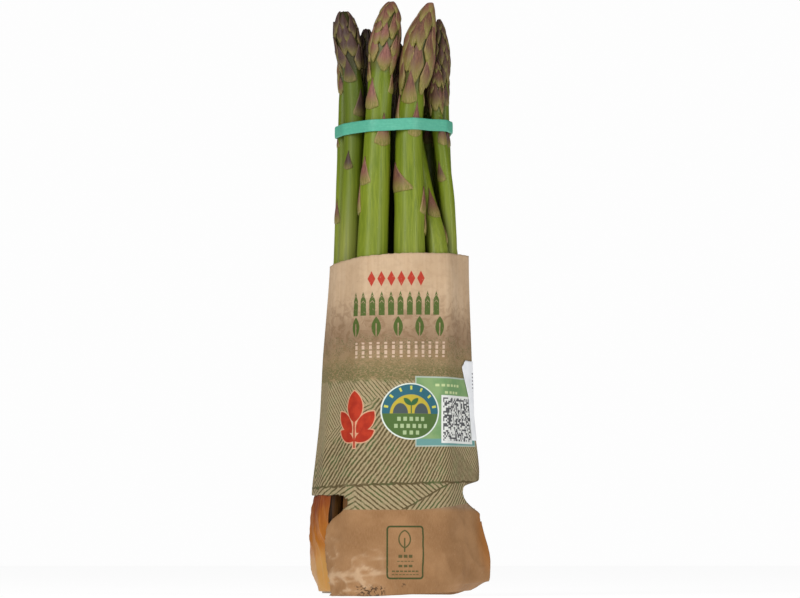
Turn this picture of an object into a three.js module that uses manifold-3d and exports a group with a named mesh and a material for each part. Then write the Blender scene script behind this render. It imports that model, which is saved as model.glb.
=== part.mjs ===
// A bundle of green asparagus that stands on its cut ends.
// Sixteen spears are held by a rubber band below their tips, and a kraft paper sleeve wraps their lower half.
// The sleeve is closed under the butts and notched at both sides near its base, a sheet of moist paper wraps
// the butts inside it, and a price label sticks to its right-hand edge.
// Millimetres, +Z up. The front of the bundle faces -Y. The origin is the centre of the base.
import * as THREE from "three";
import { mergeVertices } from "three/addons/utils/BufferGeometryUtils.js";
import Module from "manifold-3d";

const wasm = await Module();
wasm.setup();

// Heights are given from the crease under the sleeve's front, which stands a little above the ground.
const GROUND = -2.5;
const STANDING = GROUND + 1.2; // the left-hand butts rest here, on the paper under them
const BUTT_SLOPE = 0.055; // and the others stand a little higher towards the right, from this X on
const BUTT_SLOPE_START = -10;
const SHORT_BUTT = 4; // a foot above this height belongs to a short spear, held by its neighbours

// Heights of the sleeve's mouth, and of every place where the spears are packed against each other.
const MOUTH = 143;
const LEVELS = [GROUND, 25, 55, 95, MOUTH, 157, 170, 183, 196, 204, 212, 220, 234, 250];
// How far the bundle fans out at a height, as a share of its spread at the sleeve's mouth.
const SPREAD = [[0, 1.2], [25, 1.2], [55, 1.13], [95, 1.05], [MOUTH, 1], [196, 0.87], [212, 0.87], [228, 0.9]];
// Where the bundle's axis stands at a height, along X.
const AXIS_X = [[25, -6.2], [55, -5], [MOUTH, -2.2], [196, -2.7], [250, -1.5]];

// Spears. x, y and r are at the sleeve's mouth, top is a height, and head is the bud's radius and length.
// butt is the height of a short spear's foot, and neck is the radius below the bud as a share of r.
// bend gives the places above the mouth, as [z, x, y], of a spear that leaves the bundle's common fan.
const SPEARS = [
  {
    x: -25.2, y: 0.5, r: 2.9, butt: 15, top: 234, head: [3.1, 22],
    bend: [[196, -23.9, -1.5], [250, -23.4, -1]],
  },
  {
    x: -21.4, y: -9.5, r: 4.4, butt: 7, top: 244.5, neck: 1, head: [5.7, 27],
    bend: [[196, -19.1, -9.5], [212, -19, -9.5], [228, -21.8, -10], [250, -24.6, -10]],
  },
  {
    x: -11.5, y: -19, r: 6.7, top: 247.9, neck: 0.76, head: [6.4, 30],
    bend: [[196, -9.3, -16.3], [212, -8.7, -15.5], [228, -6.7, -14.5], [250, -3.4, -14]],
  },
  {
    x: 4.2, y: -19.2, r: 6.8, top: 247.3, neck: 0.77, head: [7.1, 38],
    bend: [[196, 3.6, -16.5], [209, 5.2, -15.8], [220, 7.2, -15], [236, 9, -14.5], [250, 13.8, -14]],
  },
  {
    x: 16.2, y: -15.5, r: 4.8, top: 233, head: [4.7, 27],
    bend: [[157, 12.6, -11.5], [170, 9.3, -8], [196, 4.5, -5], [250, -4, -1]],
  },
  {
    x: 20.6, y: -8.2, r: 3.5, top: 223, head: [3.5, 22],
    bend: [[170, 19.6, -9], [183, 17.8, -9.3], [196, 15.4, -9.5], [250, 14.4, -9.5]],
  },
  {
    x: 20.2, y: -1, r: 3.4, top: 242, head: [3.7, 28],
    bend: [[196, 18.1, -3], [228, 17.8, -4], [250, 15.6, -5]],
  },
  {
    x: -12.5, y: -4, r: 4, top: 238, head: [4.2, 25],
    bend: [[196, -12.4, -4.5], [228, -14, -3.5], [250, -14.4, -3]],
  },
  { x: -20, y: 9.5, r: 5.2, top: 227, head: [5, 28] },
  { x: -11, y: 19, r: 5.8, top: 231, head: [5.5, 30] },
  { x: 3, y: 20, r: 6, top: 229, head: [5.6, 32] },
  { x: 14.6, y: 14, r: 5.3, top: 233, head: [5.1, 29] },
  { x: 20, y: 7, r: 3.9, top: 228, head: [3.8, 26] },
  { x: -7, y: 6.5, r: 5.4, top: 225, head: [5, 29] },
  { x: 5, y: 5.5, r: 5.6, top: 221, head: [5.2, 28] },
  { x: 1, y: -6.5, r: 3.6, top: 218, head: [3.6, 24] },
];
const BUTT_SWELL = 1.08; // a spear's radius at its foot, as a share of its radius at the mouth
const NECK_SHARE = 0.8; // and below its bud
const SPEAR_GAP = 0.45; // the least clearance between neighbours
const SETTLE_PASSES = 400;
const FRONT_SPEARS = 8; // these keep their places while the others make room
const FRONT_GIVE = 0.1;
const SPEAR_SIDES = 10;
const STEM_RINGS = 12;
// The bud's outline: share of its length, and radius as a share of its widest.
const BUD_OUTLINE = [[0.16, 0.92], [0.38, 1], [0.62, 0.88], [0.8, 0.62], [0.93, 0.32]];

// The paper sleeve.
const PAPER = 0.6;
const SLEEVE_TOP = 140;
const SLEEVE_SLOPE = 0.08; // its cut top edge rises to the right
const SLEEVE_HEIGHTS = [GROUND, 7, 12, 15, 18, 23, 30, 40, 52, 72, 98, 122, 138, 150];
const CREASE_Y = 1;
const CREASE_R = 0.4;
// Where the outsides of the two folded edges stand: [height, x].
const LEFT_CREASE = [
  [0, -32.5],
  [40, -37.6],
  [52, -35.4],
  [72, -33.9],
  [98, -32.7],
  [122, -30.7],
  [150, -28.7],
];
const RIGHT_CREASE = [
  [0, 36.9],
  [7, 37.8],
  [12, 38.8],
  [18, 37.5],
  [23, 35.6],
  [30, 33.9],
  [40, 33.4],
  [52, 33.6],
  [72, 31],
  [98, 30.4],
  [122, 29.5],
  [150, 28.9],
];
const NOTCH_TOP = 39.5;
const OUTLINE_POINTS = 60;

// The moist paper round the butts, open at the front.
const WRAP = 0.5;
const WRAP_HEIGHTS = [STANDING, 7, 12, 15, 18, 23, 30, 40, 52];
const WRAP_GAP = 0.35;
const WRAP_OPENING = [-30.2, 8];

// The rubber band.
const BAND_HEIGHT = 194.7;
const BAND_WIDTH = 5;
const BAND_THICKNESS = 1.1;
const BAND_SLOPE = 0.04;
const BAND_GAP = 0.3;

// The price label on the right-hand crease.
const LABEL = { bottom: 63, top: 96.5, thickness: 0.3, gap: 0.3 };

// Value at height z of a line of [height, value] pairs.
function along(pairs, z) {
  const last = pairs.findIndex(([height]) => height >= z);
  if (last === 0) return pairs[0][1];
  if (last < 0) return pairs[pairs.length - 1][1];
  const [[z0, v0], [z1, v1]] = [pairs[last - 1], pairs[last]];
  return THREE.MathUtils.mapLinear(z, z0, z1, v0, v1);
}

// Radius of a spear at height z, from its butt to the tip of its bud.
function radiusOf(spear, z) {
  const [headRadius, headLength] = spear.head;
  const budFoot = spear.top - headLength;
  const neckRadius = spear.r * (spear.neck ?? NECK_SHARE);
  const stem = [[GROUND, spear.r * BUTT_SWELL], [MOUTH, spear.r], [budFoot, neckRadius]];
  const bud = BUD_OUTLINE.map(([share, width]) => [budFoot + share * headLength, width * headRadius]);
  return along([...stem, ...bud, [spear.top, 0]], z);
}

// Pushes discs apart until none is closer than the gap to another. The front ones hardly move.
function settle(discs) {
  const give = (i) => (i < FRONT_SPEARS ? FRONT_GIVE : 1);
  for (let pass = 0; pass < SETTLE_PASSES; pass++)
    for (let i = 0; i < discs.length; i++)
      for (let j = i + 1; j < discs.length; j++) {
        const apart = discs[j].at.clone().sub(discs[i].at);
        const short = discs[i].r + discs[j].r + SPEAR_GAP - apart.length();
        if (short <= 0 || !discs[i].r || !discs[j].r) continue;
        apart.setLength(short / (give(i) + give(j)));
        discs[i].at.addScaledVector(apart, -give(i));
        discs[j].at.addScaledVector(apart, give(j));
      }
}

// Where a spear would stand at height z if it had no neighbours.
function wanted(spear, z) {
  const spread = along(SPREAD, z);
  if (z <= MOUTH || !spear.bend)
    return [along(AXIS_X, z) + (spear.x - along(AXIS_X, MOUTH)) * spread, spear.y * spread];
  const places = [[MOUTH, spear.x, spear.y], ...spear.bend];
  return [1, 2].map((part) => along(places.map((place) => [place[0], place[part]]), z));
}

// Gives each spear its path: a smooth curve through its settled places at the levels.
function layOut(spears) {
  const places = spears.map(() => []);
  for (const z of LEVELS) {
    const discs = spears.map((s) => ({
      at: new THREE.Vector2(...wanted(s, z)),
      r: radiusOf(s, Math.min(z, s.top - 4)),
    }));
    settle(discs);
    discs.forEach((disc, i) => places[i].push(disc.at.x, disc.at.y));
  }
  return spears.map((s, i) => {
    const path = new THREE.CubicInterpolant(LEVELS, places[i], 2);
    return {
      butt: STANDING + Math.max(0, (s.x - BUTT_SLOPE_START) * BUTT_SLOPE),
      ...s,
      at: (z) => new THREE.Vector2(...path.evaluate(z)),
      radius: (z) => radiusOf(s, z),
    };
  });
}

// A closed surface through rings of points. Its ends are capped, or the last ring joins the first in a loop.
function loft(rings, loop = false) {
  const count = rings[0].length;
  const points = rings.flat();
  const index = [];
  const steps = loop ? rings.length : rings.length - 1;
  for (let k = 0; k < steps; k++)
    for (let i = 0; i < count; i++) {
      const [a, b] = [k * count, ((k + 1) % rings.length) * count];
      const next = (i + 1) % count;
      index.push(a + i, a + next, b + next, a + i, b + next, b + i);
    }
  if (!loop)
    for (const [start, turn] of [[0, -1], [(rings.length - 1) * count, 1]]) {
      const ring = points.slice(start, start + count);
      const centre = ring.reduce((sum, p) => sum.add(p), new THREE.Vector3()).divideScalar(count);
      points.push(centre);
      for (let i = 0; i < count; i++) {
        const [p, q] = [start + i, start + ((i + 1) % count)];
        index.push(points.length - 1, ...(turn > 0 ? [p, q] : [q, p]));
      }
    }
  return new THREE.BufferGeometry().setFromPoints(points).setIndex(index);
}

// A three.js geometry as a manifold-3d solid, and back.
function toSolid(geometry) {
  const bare = geometry.clone();
  bare.deleteAttribute("normal");
  bare.deleteAttribute("uv");
  const merged = mergeVertices(bare, 1e-3);
  return new wasm.Manifold(
    new wasm.Mesh({
      numProp: 3,
      vertProperties: merged.attributes.position.array,
      triVerts: new Uint32Array(merged.index.array),
    }),
  );
}

function toGeometry(solid) {
  const mesh = solid.getMesh();
  return new THREE.BufferGeometry()
    .setAttribute("position", new THREE.BufferAttribute(mesh.vertProperties, 3))
    .setIndex(new THREE.BufferAttribute(mesh.triVerts, 1));
}

// A prism that runs from front to back, with its outline given in X and Z.
function prism(outline, from = -80, to = 80) {
  const shape = new THREE.Shape(outline.map(([x, z]) => new THREE.Vector2(x, z)));
  const geometry = new THREE.ExtrudeGeometry(shape, { depth: to - from, bevelEnabled: false });
  return toSolid(geometry.rotateX(Math.PI / 2).translate(0, to, 0));
}

// The convex outline round a set of discs: the farthest point of them in each direction, counterclockwise.
function outlineOf(discs) {
  return Array.from({ length: OUTLINE_POINTS }, (_, k) => {
    const turn = ((k + 0.5) / OUTLINE_POINTS) * 2 * Math.PI;
    const way = new THREE.Vector2(Math.cos(turn), Math.sin(turn));
    const reach = ({ at, r }) => at.dot(way) + r;
    const { at, r } = discs.reduce((best, disc) => (reach(disc) > reach(best) ? disc : best));
    return at.clone().addScaledVector(way, r);
  });
}

// The spears that reach height z, as discs that are grown by a clearance. Those that stand count to the ground.
function section(spears, z, grow) {
  return spears
    .filter((s) => z < s.top && (z >= s.butt - 0.5 || s.butt < SHORT_BUTT))
    .map((s) => ({ at: s.at(z), r: s.radius(z) + grow }));
}

// An outline as points in space, at one height or at the height that a function gives.
function ring(outline, height) {
  const z = typeof height === "function" ? height : () => height;
  return outline.map((p) => new THREE.Vector3(p.x, p.y, z(p)));
}

// A spear: ten-sided rings from its cut foot through its bud to a small blunt tip.
function spearGeometry(spear) {
  const budFoot = spear.top - spear.head[1];
  const heights = Array.from({ length: STEM_RINGS }, (_, k) =>
    THREE.MathUtils.lerp(spear.butt, budFoot, k / (STEM_RINGS - 1)),
  );
  heights.push(...BUD_OUTLINE.map(([share]) => budFoot + share * spear.head[1]), spear.top);
  const rings = heights.map((z) => {
    const centre = spear.at(z);
    const radius = Math.max(spear.radius(z), 0.35);
    return Array.from({ length: SPEAR_SIDES }, (_, k) => {
      const turn = (k / SPEAR_SIDES) * 2 * Math.PI;
      return new THREE.Vector3(centre.x + radius * Math.cos(turn), centre.y + radius * Math.sin(turn), z);
    });
  });
  return loft(rings);
}

// The sleeve's outline at height z, grown by a distance from its inner face.
function sleeveOutline(spears, z, grow) {
  const aroundWrap = WRAP_GAP * 2 + WRAP;
  const clearance = along([[0, aroundWrap], [55, aroundWrap], [75, WRAP_GAP + 0.15]], z);
  const creases = [LEFT_CREASE, RIGHT_CREASE].map((line) => {
    const x = along(line, z);
    return { at: new THREE.Vector2(x - Math.sign(x) * (CREASE_R + PAPER), CREASE_Y), r: CREASE_R + grow };
  });
  return outlineOf([...section(spears, Math.max(z, STANDING), clearance + grow), ...creases]);
}

// The sleeve: a bag of paper with its top cut on a slope and a notch cut from each side.
function sleeveGeometry(spears) {
  const outer = SLEEVE_HEIGHTS.map((z) => ring(sleeveOutline(spears, z, PAPER), z));
  const floor = GROUND + PAPER;
  const inner = SLEEVE_HEIGHTS.map((z) => ring(sleeveOutline(spears, z, 0), Math.max(z, floor))).reverse();
  const top = 60;
  const aboveTop = prism([
    [-top, SLEEVE_TOP - SLEEVE_SLOPE * top],
    [top, SLEEVE_TOP + SLEEVE_SLOPE * top],
    [top, 200],
    [-top, 200],
  ]);
  const leftNotch = prism([
    [-60, NOTCH_TOP],
    [-24, NOTCH_TOP],
    [-21.8, 38],
    [-21.6, 36],
    [-23.4, 33.4],
    [-28.4, 29.6],
    [-30.8, 26],
    [-31.4, 20],
    [-30.9, 12],
    [-29.6, 5],
    [-28.2, -5],
    [-60, -5],
  ]);
  const rightNotch = prism([
    [60, 45.6],
    [32, 45.6],
    [28, 44.6],
    [26.6, 43],
    [26.3, 40.8],
    [27, 38.4],
    [29, 36],
    [31.5, 34],
    [34, 32.4],
    [60, 30],
  ]);
  return toGeometry(
    [aboveTop, leftNotch, rightNotch].reduce(
      (left, cut) => left.subtract(cut),
      toSolid(loft([...outer, ...inner])),
    ),
  );
}

// The moist paper: a ring of paper round the butts with its front left open.
function wrapGeometry(spears) {
  const outline = (z, grow) => outlineOf(section(spears, z, WRAP_GAP + grow));
  const outer = WRAP_HEIGHTS.map((z) => ring(outline(z, WRAP), z));
  const inner = WRAP_HEIGHTS.map((z) => ring(outline(z, 0), z)).reverse();
  const [from, to] = WRAP_OPENING;
  const opening = prism([[from + 1, -5], [to, -5], [to, 70], [from, 70]], -80, 0);
  return toGeometry(toSolid(loft([...outer, ...inner], true)).subtract(opening));
}

// The rubber band: a flat loop that slopes with the bundle's lean.
function bandGeometry(spears) {
  const heights = [-1, 0, 1].map((side) => BAND_HEIGHT + side * BAND_WIDTH * 0.7);
  const outline = (grow) => outlineOf(heights.flatMap((z) => section(spears, z, BAND_GAP + grow)));
  const slope = (offset) => (p) => BAND_HEIGHT + BAND_SLOPE * p.x + offset;
  const half = BAND_WIDTH / 2;
  const outer = outline(BAND_THICKNESS);
  const inner = outline(0);
  return loft(
    [
      ring(outer, slope(-half)),
      ring(outer, slope(half)),
      ring(inner, slope(half)),
      ring(inner, slope(-half)),
    ],
    true,
  );
}

// The price label: a patch of a second skin just outside the sleeve, folded round its right-hand crease.
function labelGeometry(spears) {
  const { bottom, top, thickness, gap } = LABEL;
  const heights = [bottom - 5, 72, 85, top + 5];
  const outline = (z, grow) => sleeveOutline(spears, z, PAPER + gap + grow);
  const outer = heights.map((z) => ring(outline(z, thickness), z));
  const inner = heights.map((z) => ring(outline(z, 0), z)).reverse();
  const patch = prism([
    [29.2, bottom],
    [60, bottom],
    [60, top],
    [26.4, top],
    [25.6, top - 1.2],
    [27.2, 85],
  ]);
  return toGeometry(toSolid(loft([...outer, ...inner], true)).intersect(patch));
}

const green = new THREE.MeshStandardMaterial({ color: 0x8f9f45, roughness: 0.45, metalness: 0 });
const kraft = new THREE.MeshStandardMaterial({ color: 0xc3aa8c, roughness: 0.85, metalness: 0 });
const moistKraft = new THREE.MeshStandardMaterial({ color: 0xab7233, roughness: 0.6, metalness: 0 });
const tealRubber = new THREE.MeshStandardMaterial({ color: 0x66bc9c, roughness: 0.55, metalness: 0 });
const labelPaper = new THREE.MeshStandardMaterial({ color: 0xe6e8ea, roughness: 0.5, metalness: 0 });

const bundle = new THREE.Group();
function place(name, geometry, material) {
  const mesh = new THREE.Mesh(geometry, material);
  mesh.name = name;
  bundle.add(mesh);
}

const spears = layOut(SPEARS);
spears.forEach((spear, i) => {
  place(`spear_${String(i + 1).padStart(2, "0")}`, spearGeometry(spear), green);
});
place("paper_sleeve", sleeveGeometry(spears), kraft);
place("butt_wrap", wrapGeometry(spears), moistKraft);
place("rubber_band", bandGeometry(spears), tealRubber);
place("price_label", labelGeometry(spears), labelPaper);

// The origin is the centre of the base of the whole bundle's box.
const box = new THREE.Box3().setFromObject(bundle);
const centre = box.getCenter(new THREE.Vector3());
bundle.position.set(-centre.x, -centre.y, -box.min.z);

export default bundle;
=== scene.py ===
"""Visual model of a bundle of asparagus in a printed kraft sleeve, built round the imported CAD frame."""

import math
import random

import bpy
import numpy as np
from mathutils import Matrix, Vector, noise
from mathutils.bvhtree import BVHTree


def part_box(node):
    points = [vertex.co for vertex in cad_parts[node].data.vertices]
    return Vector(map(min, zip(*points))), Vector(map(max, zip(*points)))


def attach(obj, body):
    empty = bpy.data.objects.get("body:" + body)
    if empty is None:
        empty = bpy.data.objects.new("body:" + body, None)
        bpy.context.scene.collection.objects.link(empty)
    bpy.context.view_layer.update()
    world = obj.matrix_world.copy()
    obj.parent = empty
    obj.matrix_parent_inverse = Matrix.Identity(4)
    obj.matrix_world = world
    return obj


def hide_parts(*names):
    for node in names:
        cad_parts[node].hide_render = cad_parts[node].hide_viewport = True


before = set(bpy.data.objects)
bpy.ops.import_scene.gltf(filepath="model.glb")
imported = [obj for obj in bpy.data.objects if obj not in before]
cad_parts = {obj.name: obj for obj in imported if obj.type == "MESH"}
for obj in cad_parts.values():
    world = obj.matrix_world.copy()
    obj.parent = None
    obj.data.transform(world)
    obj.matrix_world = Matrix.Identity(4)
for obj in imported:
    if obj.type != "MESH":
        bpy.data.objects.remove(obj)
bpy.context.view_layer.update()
MM = 0.001


# ---------------------------------------------------------------- meshes


class Shell:
    """Collects patches of points, in millimetres, with marks that the materials read."""

    MARKS = ("kind", "sv", "su", "tone", "shade", "crowd")

    def __init__(self):
        self.points, self.faces, self.count = [], [], 0
        self.marks = {m: [] for m in self.MARKS}

    def add(self, p, **marks):
        """Adds points with their marks, and returns the number of the first."""
        first = self.count
        flat = np.asarray(p, float).reshape(-1, 3)
        self.points.append(flat)
        self.count += len(flat)
        for name in self.MARKS:
            value = np.broadcast_to(np.asarray(marks.get(name, 0.0), float), np.shape(p)[:-1])
            self.marks[name].append(value.reshape(-1))
        return first

    def belt(self, low, high, cols):
        """Quads between two rings of points."""
        for c in range(cols):
            d = (c + 1) % cols
            self.faces.append((low + c, low + d, high + d, high + c))

    def tube(self, first, rows, cols):
        """Quads between rings of points that follow each other."""
        for r in range(rows - 1):
            self.belt(first + r * cols, first + (r + 1) * cols, cols)

    def fan(self, ring, middle, cols, below=False):
        """Triangles between a ring of points and one point."""
        for c in range(cols):
            d = (c + 1) % cols
            self.faces.append((ring + d, ring + c, middle) if below else (ring + c, ring + d, middle))

    def build(self, name, material):
        marks = {m: np.concatenate(v) for m, v in self.marks.items()}
        return make_piece(name, np.concatenate(self.points), self.faces, material, marks)


def make_piece(name, points, faces, material, marks=None):
    """An object from points in millimetres, smooth-shaded, with its marks as attributes."""
    mesh = bpy.data.meshes.new(name)
    mesh.from_pydata((np.asarray(points) * MM).tolist(), [], faces)
    for mark, values in (marks or {}).items():
        layer = mesh.attributes.new(mark, "FLOAT", "POINT")
        layer.data.foreach_set("value", np.asarray(values, np.float32))
    mesh.polygons.foreach_set("use_smooth", [True] * len(mesh.polygons))
    mesh.update()
    mesh.materials.append(material)
    piece = bpy.data.objects.new(name, mesh)
    bpy.context.scene.collection.objects.link(piece)
    return piece


def smooth_step(x, low=0.0, high=1.0):
    """0 at low and 1 at high, smooth between; high may be the lower."""
    t = np.clip((np.asarray(x, float) - low) / (high - low), 0, 1)
    return t * t * (3 - 2 * t)


def blurred(values, sigma):
    """Gaussian blur along the first axis; the ends stay where they are."""
    reach = int(3 * sigma) + 1
    kernel = np.exp(-0.5 * (np.arange(-reach, reach + 1) / sigma) ** 2)
    kernel /= kernel.sum()
    v = np.asarray(values, float)
    flat = v.reshape(len(v), -1)
    out = np.empty_like(flat)
    for k in range(flat.shape[1]):
        low, high = flat[0, k], flat[-1, k]
        head = 2 * low - flat[reach:0:-1, k]
        tail = 2 * high - flat[-2 : -reach - 2 : -1, k]
        out[:, k] = np.convolve(np.concatenate([head, flat[:, k], tail]), kernel, "valid")
    return out.reshape(v.shape)


def rough(x, y, seed, scale=1.0):
    """Smooth noise from -1 to 1 over two numbers; scale is the size of its features."""
    x, y = np.broadcast_arrays(x, y)
    flat = [
        noise.noise(Vector((a / scale + seed, b / scale - seed, 2 * seed)))
        for a, b in zip(x.ravel(), y.ravel())
    ]
    return np.array(flat).reshape(x.shape)


def outward(points):
    """The level direction away from a sheet whose rows run anticlockwise, at each of its points."""
    ahead = np.gradient(points[..., :2], axis=1)
    out = np.stack([ahead[..., 1], -ahead[..., 0]], -1)
    return out / np.maximum(np.hypot(out[..., 0], out[..., 1]), 1e-6)[..., None]


# ---------------------------------------------------------------- spears


class Spear:
    """The centre line and radius of a CAD spear, read from its rings."""

    STEM_RINGS = 12
    STEP = 0.5

    def __init__(self, node):
        co = np.array([v.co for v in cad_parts[node].data.vertices]) / MM
        heights = np.unique(np.round(co[:, 2], 1))
        rings = []
        for z in heights:
            ring = np.unique(np.round(co[abs(co[:, 2] - z) < 0.08], 3), axis=0)
            centre = (ring.min(0) + ring.max(0)) / 2 if len(ring) < 8 else ring.mean(0)
            rings.append((z, centre[0], centre[1], np.hypot(*(ring[:, :2] - centre[:2]).T).max()))
        rings = np.array(rings)
        self.foot, self.top = rings[0, 0], rings[-1, 0]
        self.neck = rings[self.STEM_RINGS - 1, 0]
        self.z = np.arange(self.foot, self.top + self.STEP / 2, self.STEP)
        track = np.stack([np.interp(self.z, rings[:, 0], rings[:, k]) for k in (1, 2, 3)], 1)
        self.track = blurred(track, 6)
        self.track[:, 2] = blurred(track[:, 2], 3)

    def x(self, z):
        return np.interp(z, self.z, self.track[:, 0])

    def y(self, z):
        return np.interp(z, self.z, self.track[:, 1])

    def r(self, z):
        return np.interp(z, self.z, np.maximum(self.track[:, 2], 0.3))

    def at(self, z, angle, r):
        """Points at a height, an angle from the front towards the right, and a distance from the centre."""
        z, angle, r = np.broadcast_arrays(z, angle, r)
        return np.stack([self.x(z) + r * np.sin(angle), self.y(z) - r * np.cos(angle), z], -1)


NAMES = [f"spear_{i:02d}" for i in range(1, 17)]
SPEARS = [Spear(n) for n in NAMES]

# How dark each spear's bracts are, from 0 to 1, and how blunt its bud is.
SHADE = [0.5, 0.85, 0.12, 0.25, 0.3, 0.55, 0.7, 0.9, 0.5, 0.3, 0.45, 0.35, 0.6, 0.4, 0.3, 0.5]
BLUNT = [0, 1.0, 0.35, 0, 0, 0, 0.1, 0.6, 0.2, 0.1, 0, 0.3, 0, 0.2, 0, 0]

# Bracts and bud scales seen from the front: height of the base, angle, length, half width, tone.
FRONT_SCALES = {
    0: [
        (212, -40, 8, 2.0, 0.5), (189.5, -70, 5, 1.8, 0.8), (157, -50, 11, 2.3, 0.5),
    ],
    1: [
        (227, 17, 10.5, 3.2, 0.8), (232, -30, 9, 2.4, 0.8), (222, -42, 9.5, 2.8, 0.7),
        (216, -16, 10.5, 3.2, 0.85), (221.5, 48, 11, 2.8, 0.8), (237.6, -8, 8.5, 2.0, 1.0),
        (234.7, 35, 10, 2.3, 0.9), (237.0, -55, 10.5, 2.0, 1.0), (201.5, 42, 12, 4.2, 0.9),
        (179.2, -28, 8, 2.4, 1.0),
    ],
    2: [
        (243, 5, 8, 2.1, 0.5), (238.5, -15, 10.5, 2.0, 0.35), (234.7, -40, 10, 2.2, 0.4),
        (230.5, -8, 11, 2.6, 0.15), (233.4, 29, 11.4, 2.2, 0.45), (237.6, 58, 10.5, 2.2, 0.4),
        (224.1, -46, 13, 2.7, 0.2), (225.8, 48, 10, 2.4, 0.5), (219.9, 12, 12.5, 3.9, 0.05),
        (216, -75, 8.5, 2.4, 0.9), (203.8, -42, 13.5, 4.3, 0.05), (210.5, 65, 9, 2.4, 0.8),
        (188.1, 27, 14, 4.3, 0.25), (171.5, -54, 12.5, 4.2, 0.15),
    ],
    3: [
        (233.5, 25, 17, 2.2, 0.8), (227.3, 3, 19, 2.5, 0.75), (229.4, -26, 15, 2.5, 0.7),
        (219.7, -38, 18, 3.3, 0.65), (214, -4, 21, 3.8, 0.7), (223.1, 42, 15, 2.8, 0.75),
        (209.8, 47, 20, 3.1, 0.6), (212.3, -66, 15, 2.8, 0.75), (205.9, -14, 16, 3.8, 0.6),
        (234.5, -50, 11, 2.1, 0.8), (191.9, 27, 15, 3.4, 0.45), (168.5, -76, 13, 10.8, 0.55),
        (159.3, 72, 12, 3.6, 0.45),
    ],
    4: [
        (158.5, 30, 13, 3.6, 0.3),
    ],
    5: [
        (204, -8, 13, 2.9, 0.9), (189.5, 25, 12, 2.6, 0.3), (174, -35, 9, 2.6, 0.9),
        (214, 25, 9, 2.2, 0.6),
    ],
    6: [
        (189.5, 40, 9, 2.4, 0.4), (207, 30, 10, 2.4, 0.5), (198, -20, 9, 2.4, 0.7),
    ],
    7: [
        (212, 10, 11, 2.8, 0.9), (203, -40, 10, 2.8, 0.8),
    ],
}
LONG_SCALES = {2: 1.1, 3: 1.45, 4: 1.2}
GOLDEN = math.radians(137.508)
PAPER_TOP = 140.0
BUD_SCALES = 36
NEAR_SPEARS = 8  # the first eight are seen in the photograph, and get more faces


def bud_radius(i, z):
    """The bud's surface: the CAD's, filled out near the top where the bud is blunt."""
    s = SPEARS[i]
    r = s.r(z)
    share = (np.asarray(z, float) - s.neck) / (s.top - s.neck)
    full = s.track[:, 2][s.z > s.neck].max()
    dome = full * np.sqrt(np.clip(1 - np.clip((share - 0.45) / 0.55, 0, 1) ** 2.6, 0, 1))
    return np.where(share > 0.45, r + BLUNT[i] * 0.85 * np.maximum(dome - r, 0), r)


CROWD_MM = 3.0  # painted shade darkens a gap between spears where it is narrower than this
CROWD_HEIGHTS = np.arange(130.0, 236.0, 7.0)


def crowding(p, i):
    """How much painted shade points of a spear get, between its neighbours and deep inside the bundle, from 0
    to 1.
    """
    x, y, z = np.moveaxis(np.asarray(p, float), -1, 0)
    gap = np.full(x.shape, 99.0)
    for j, s in enumerate(SPEARS):
        if j != i:
            far = np.hypot(x - s.x(z), y - s.y(z)) - s.r(z)
            gap = np.where((z > s.foot) & (z < s.top - 1), np.minimum(gap, far), gap)
    pinched = np.clip(1 - gap / CROWD_MM, 0, 1) ** 1.2
    row = (z - CROWD_HEIGHTS[0]) / (CROWD_HEIGHTS[1] - CROWD_HEIGHTS[0])
    row = np.clip(row, 0, len(CROWD_HEIGHTS) - 1).round().astype(int)
    share = np.ones(x.shape)
    for k in np.unique(row):
        ring, here = outline(discs_at(CROWD_HEIGHTS[k], 0.0), 180), row == k
        centre = ring.mean(0)
        turn = np.arctan2(*(ring - centre).T[::-1])
        order = np.argsort(turn)
        rim = np.hypot(*(ring - centre).T)[order]
        dx, dy = x[here] - centre[0], y[here] - centre[1]
        share[here] = np.hypot(dx, dy) / np.interp(np.arctan2(dy, dx), turn[order], rim, period=2 * math.pi)
    # Painted shade: full in narrow gaps between spears and towards the middle of the bundle.
    return np.clip(0.9 * pinched + 0.85 * (1 - smooth_step(share, 0.38, 0.74)), 0, 1)


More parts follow.
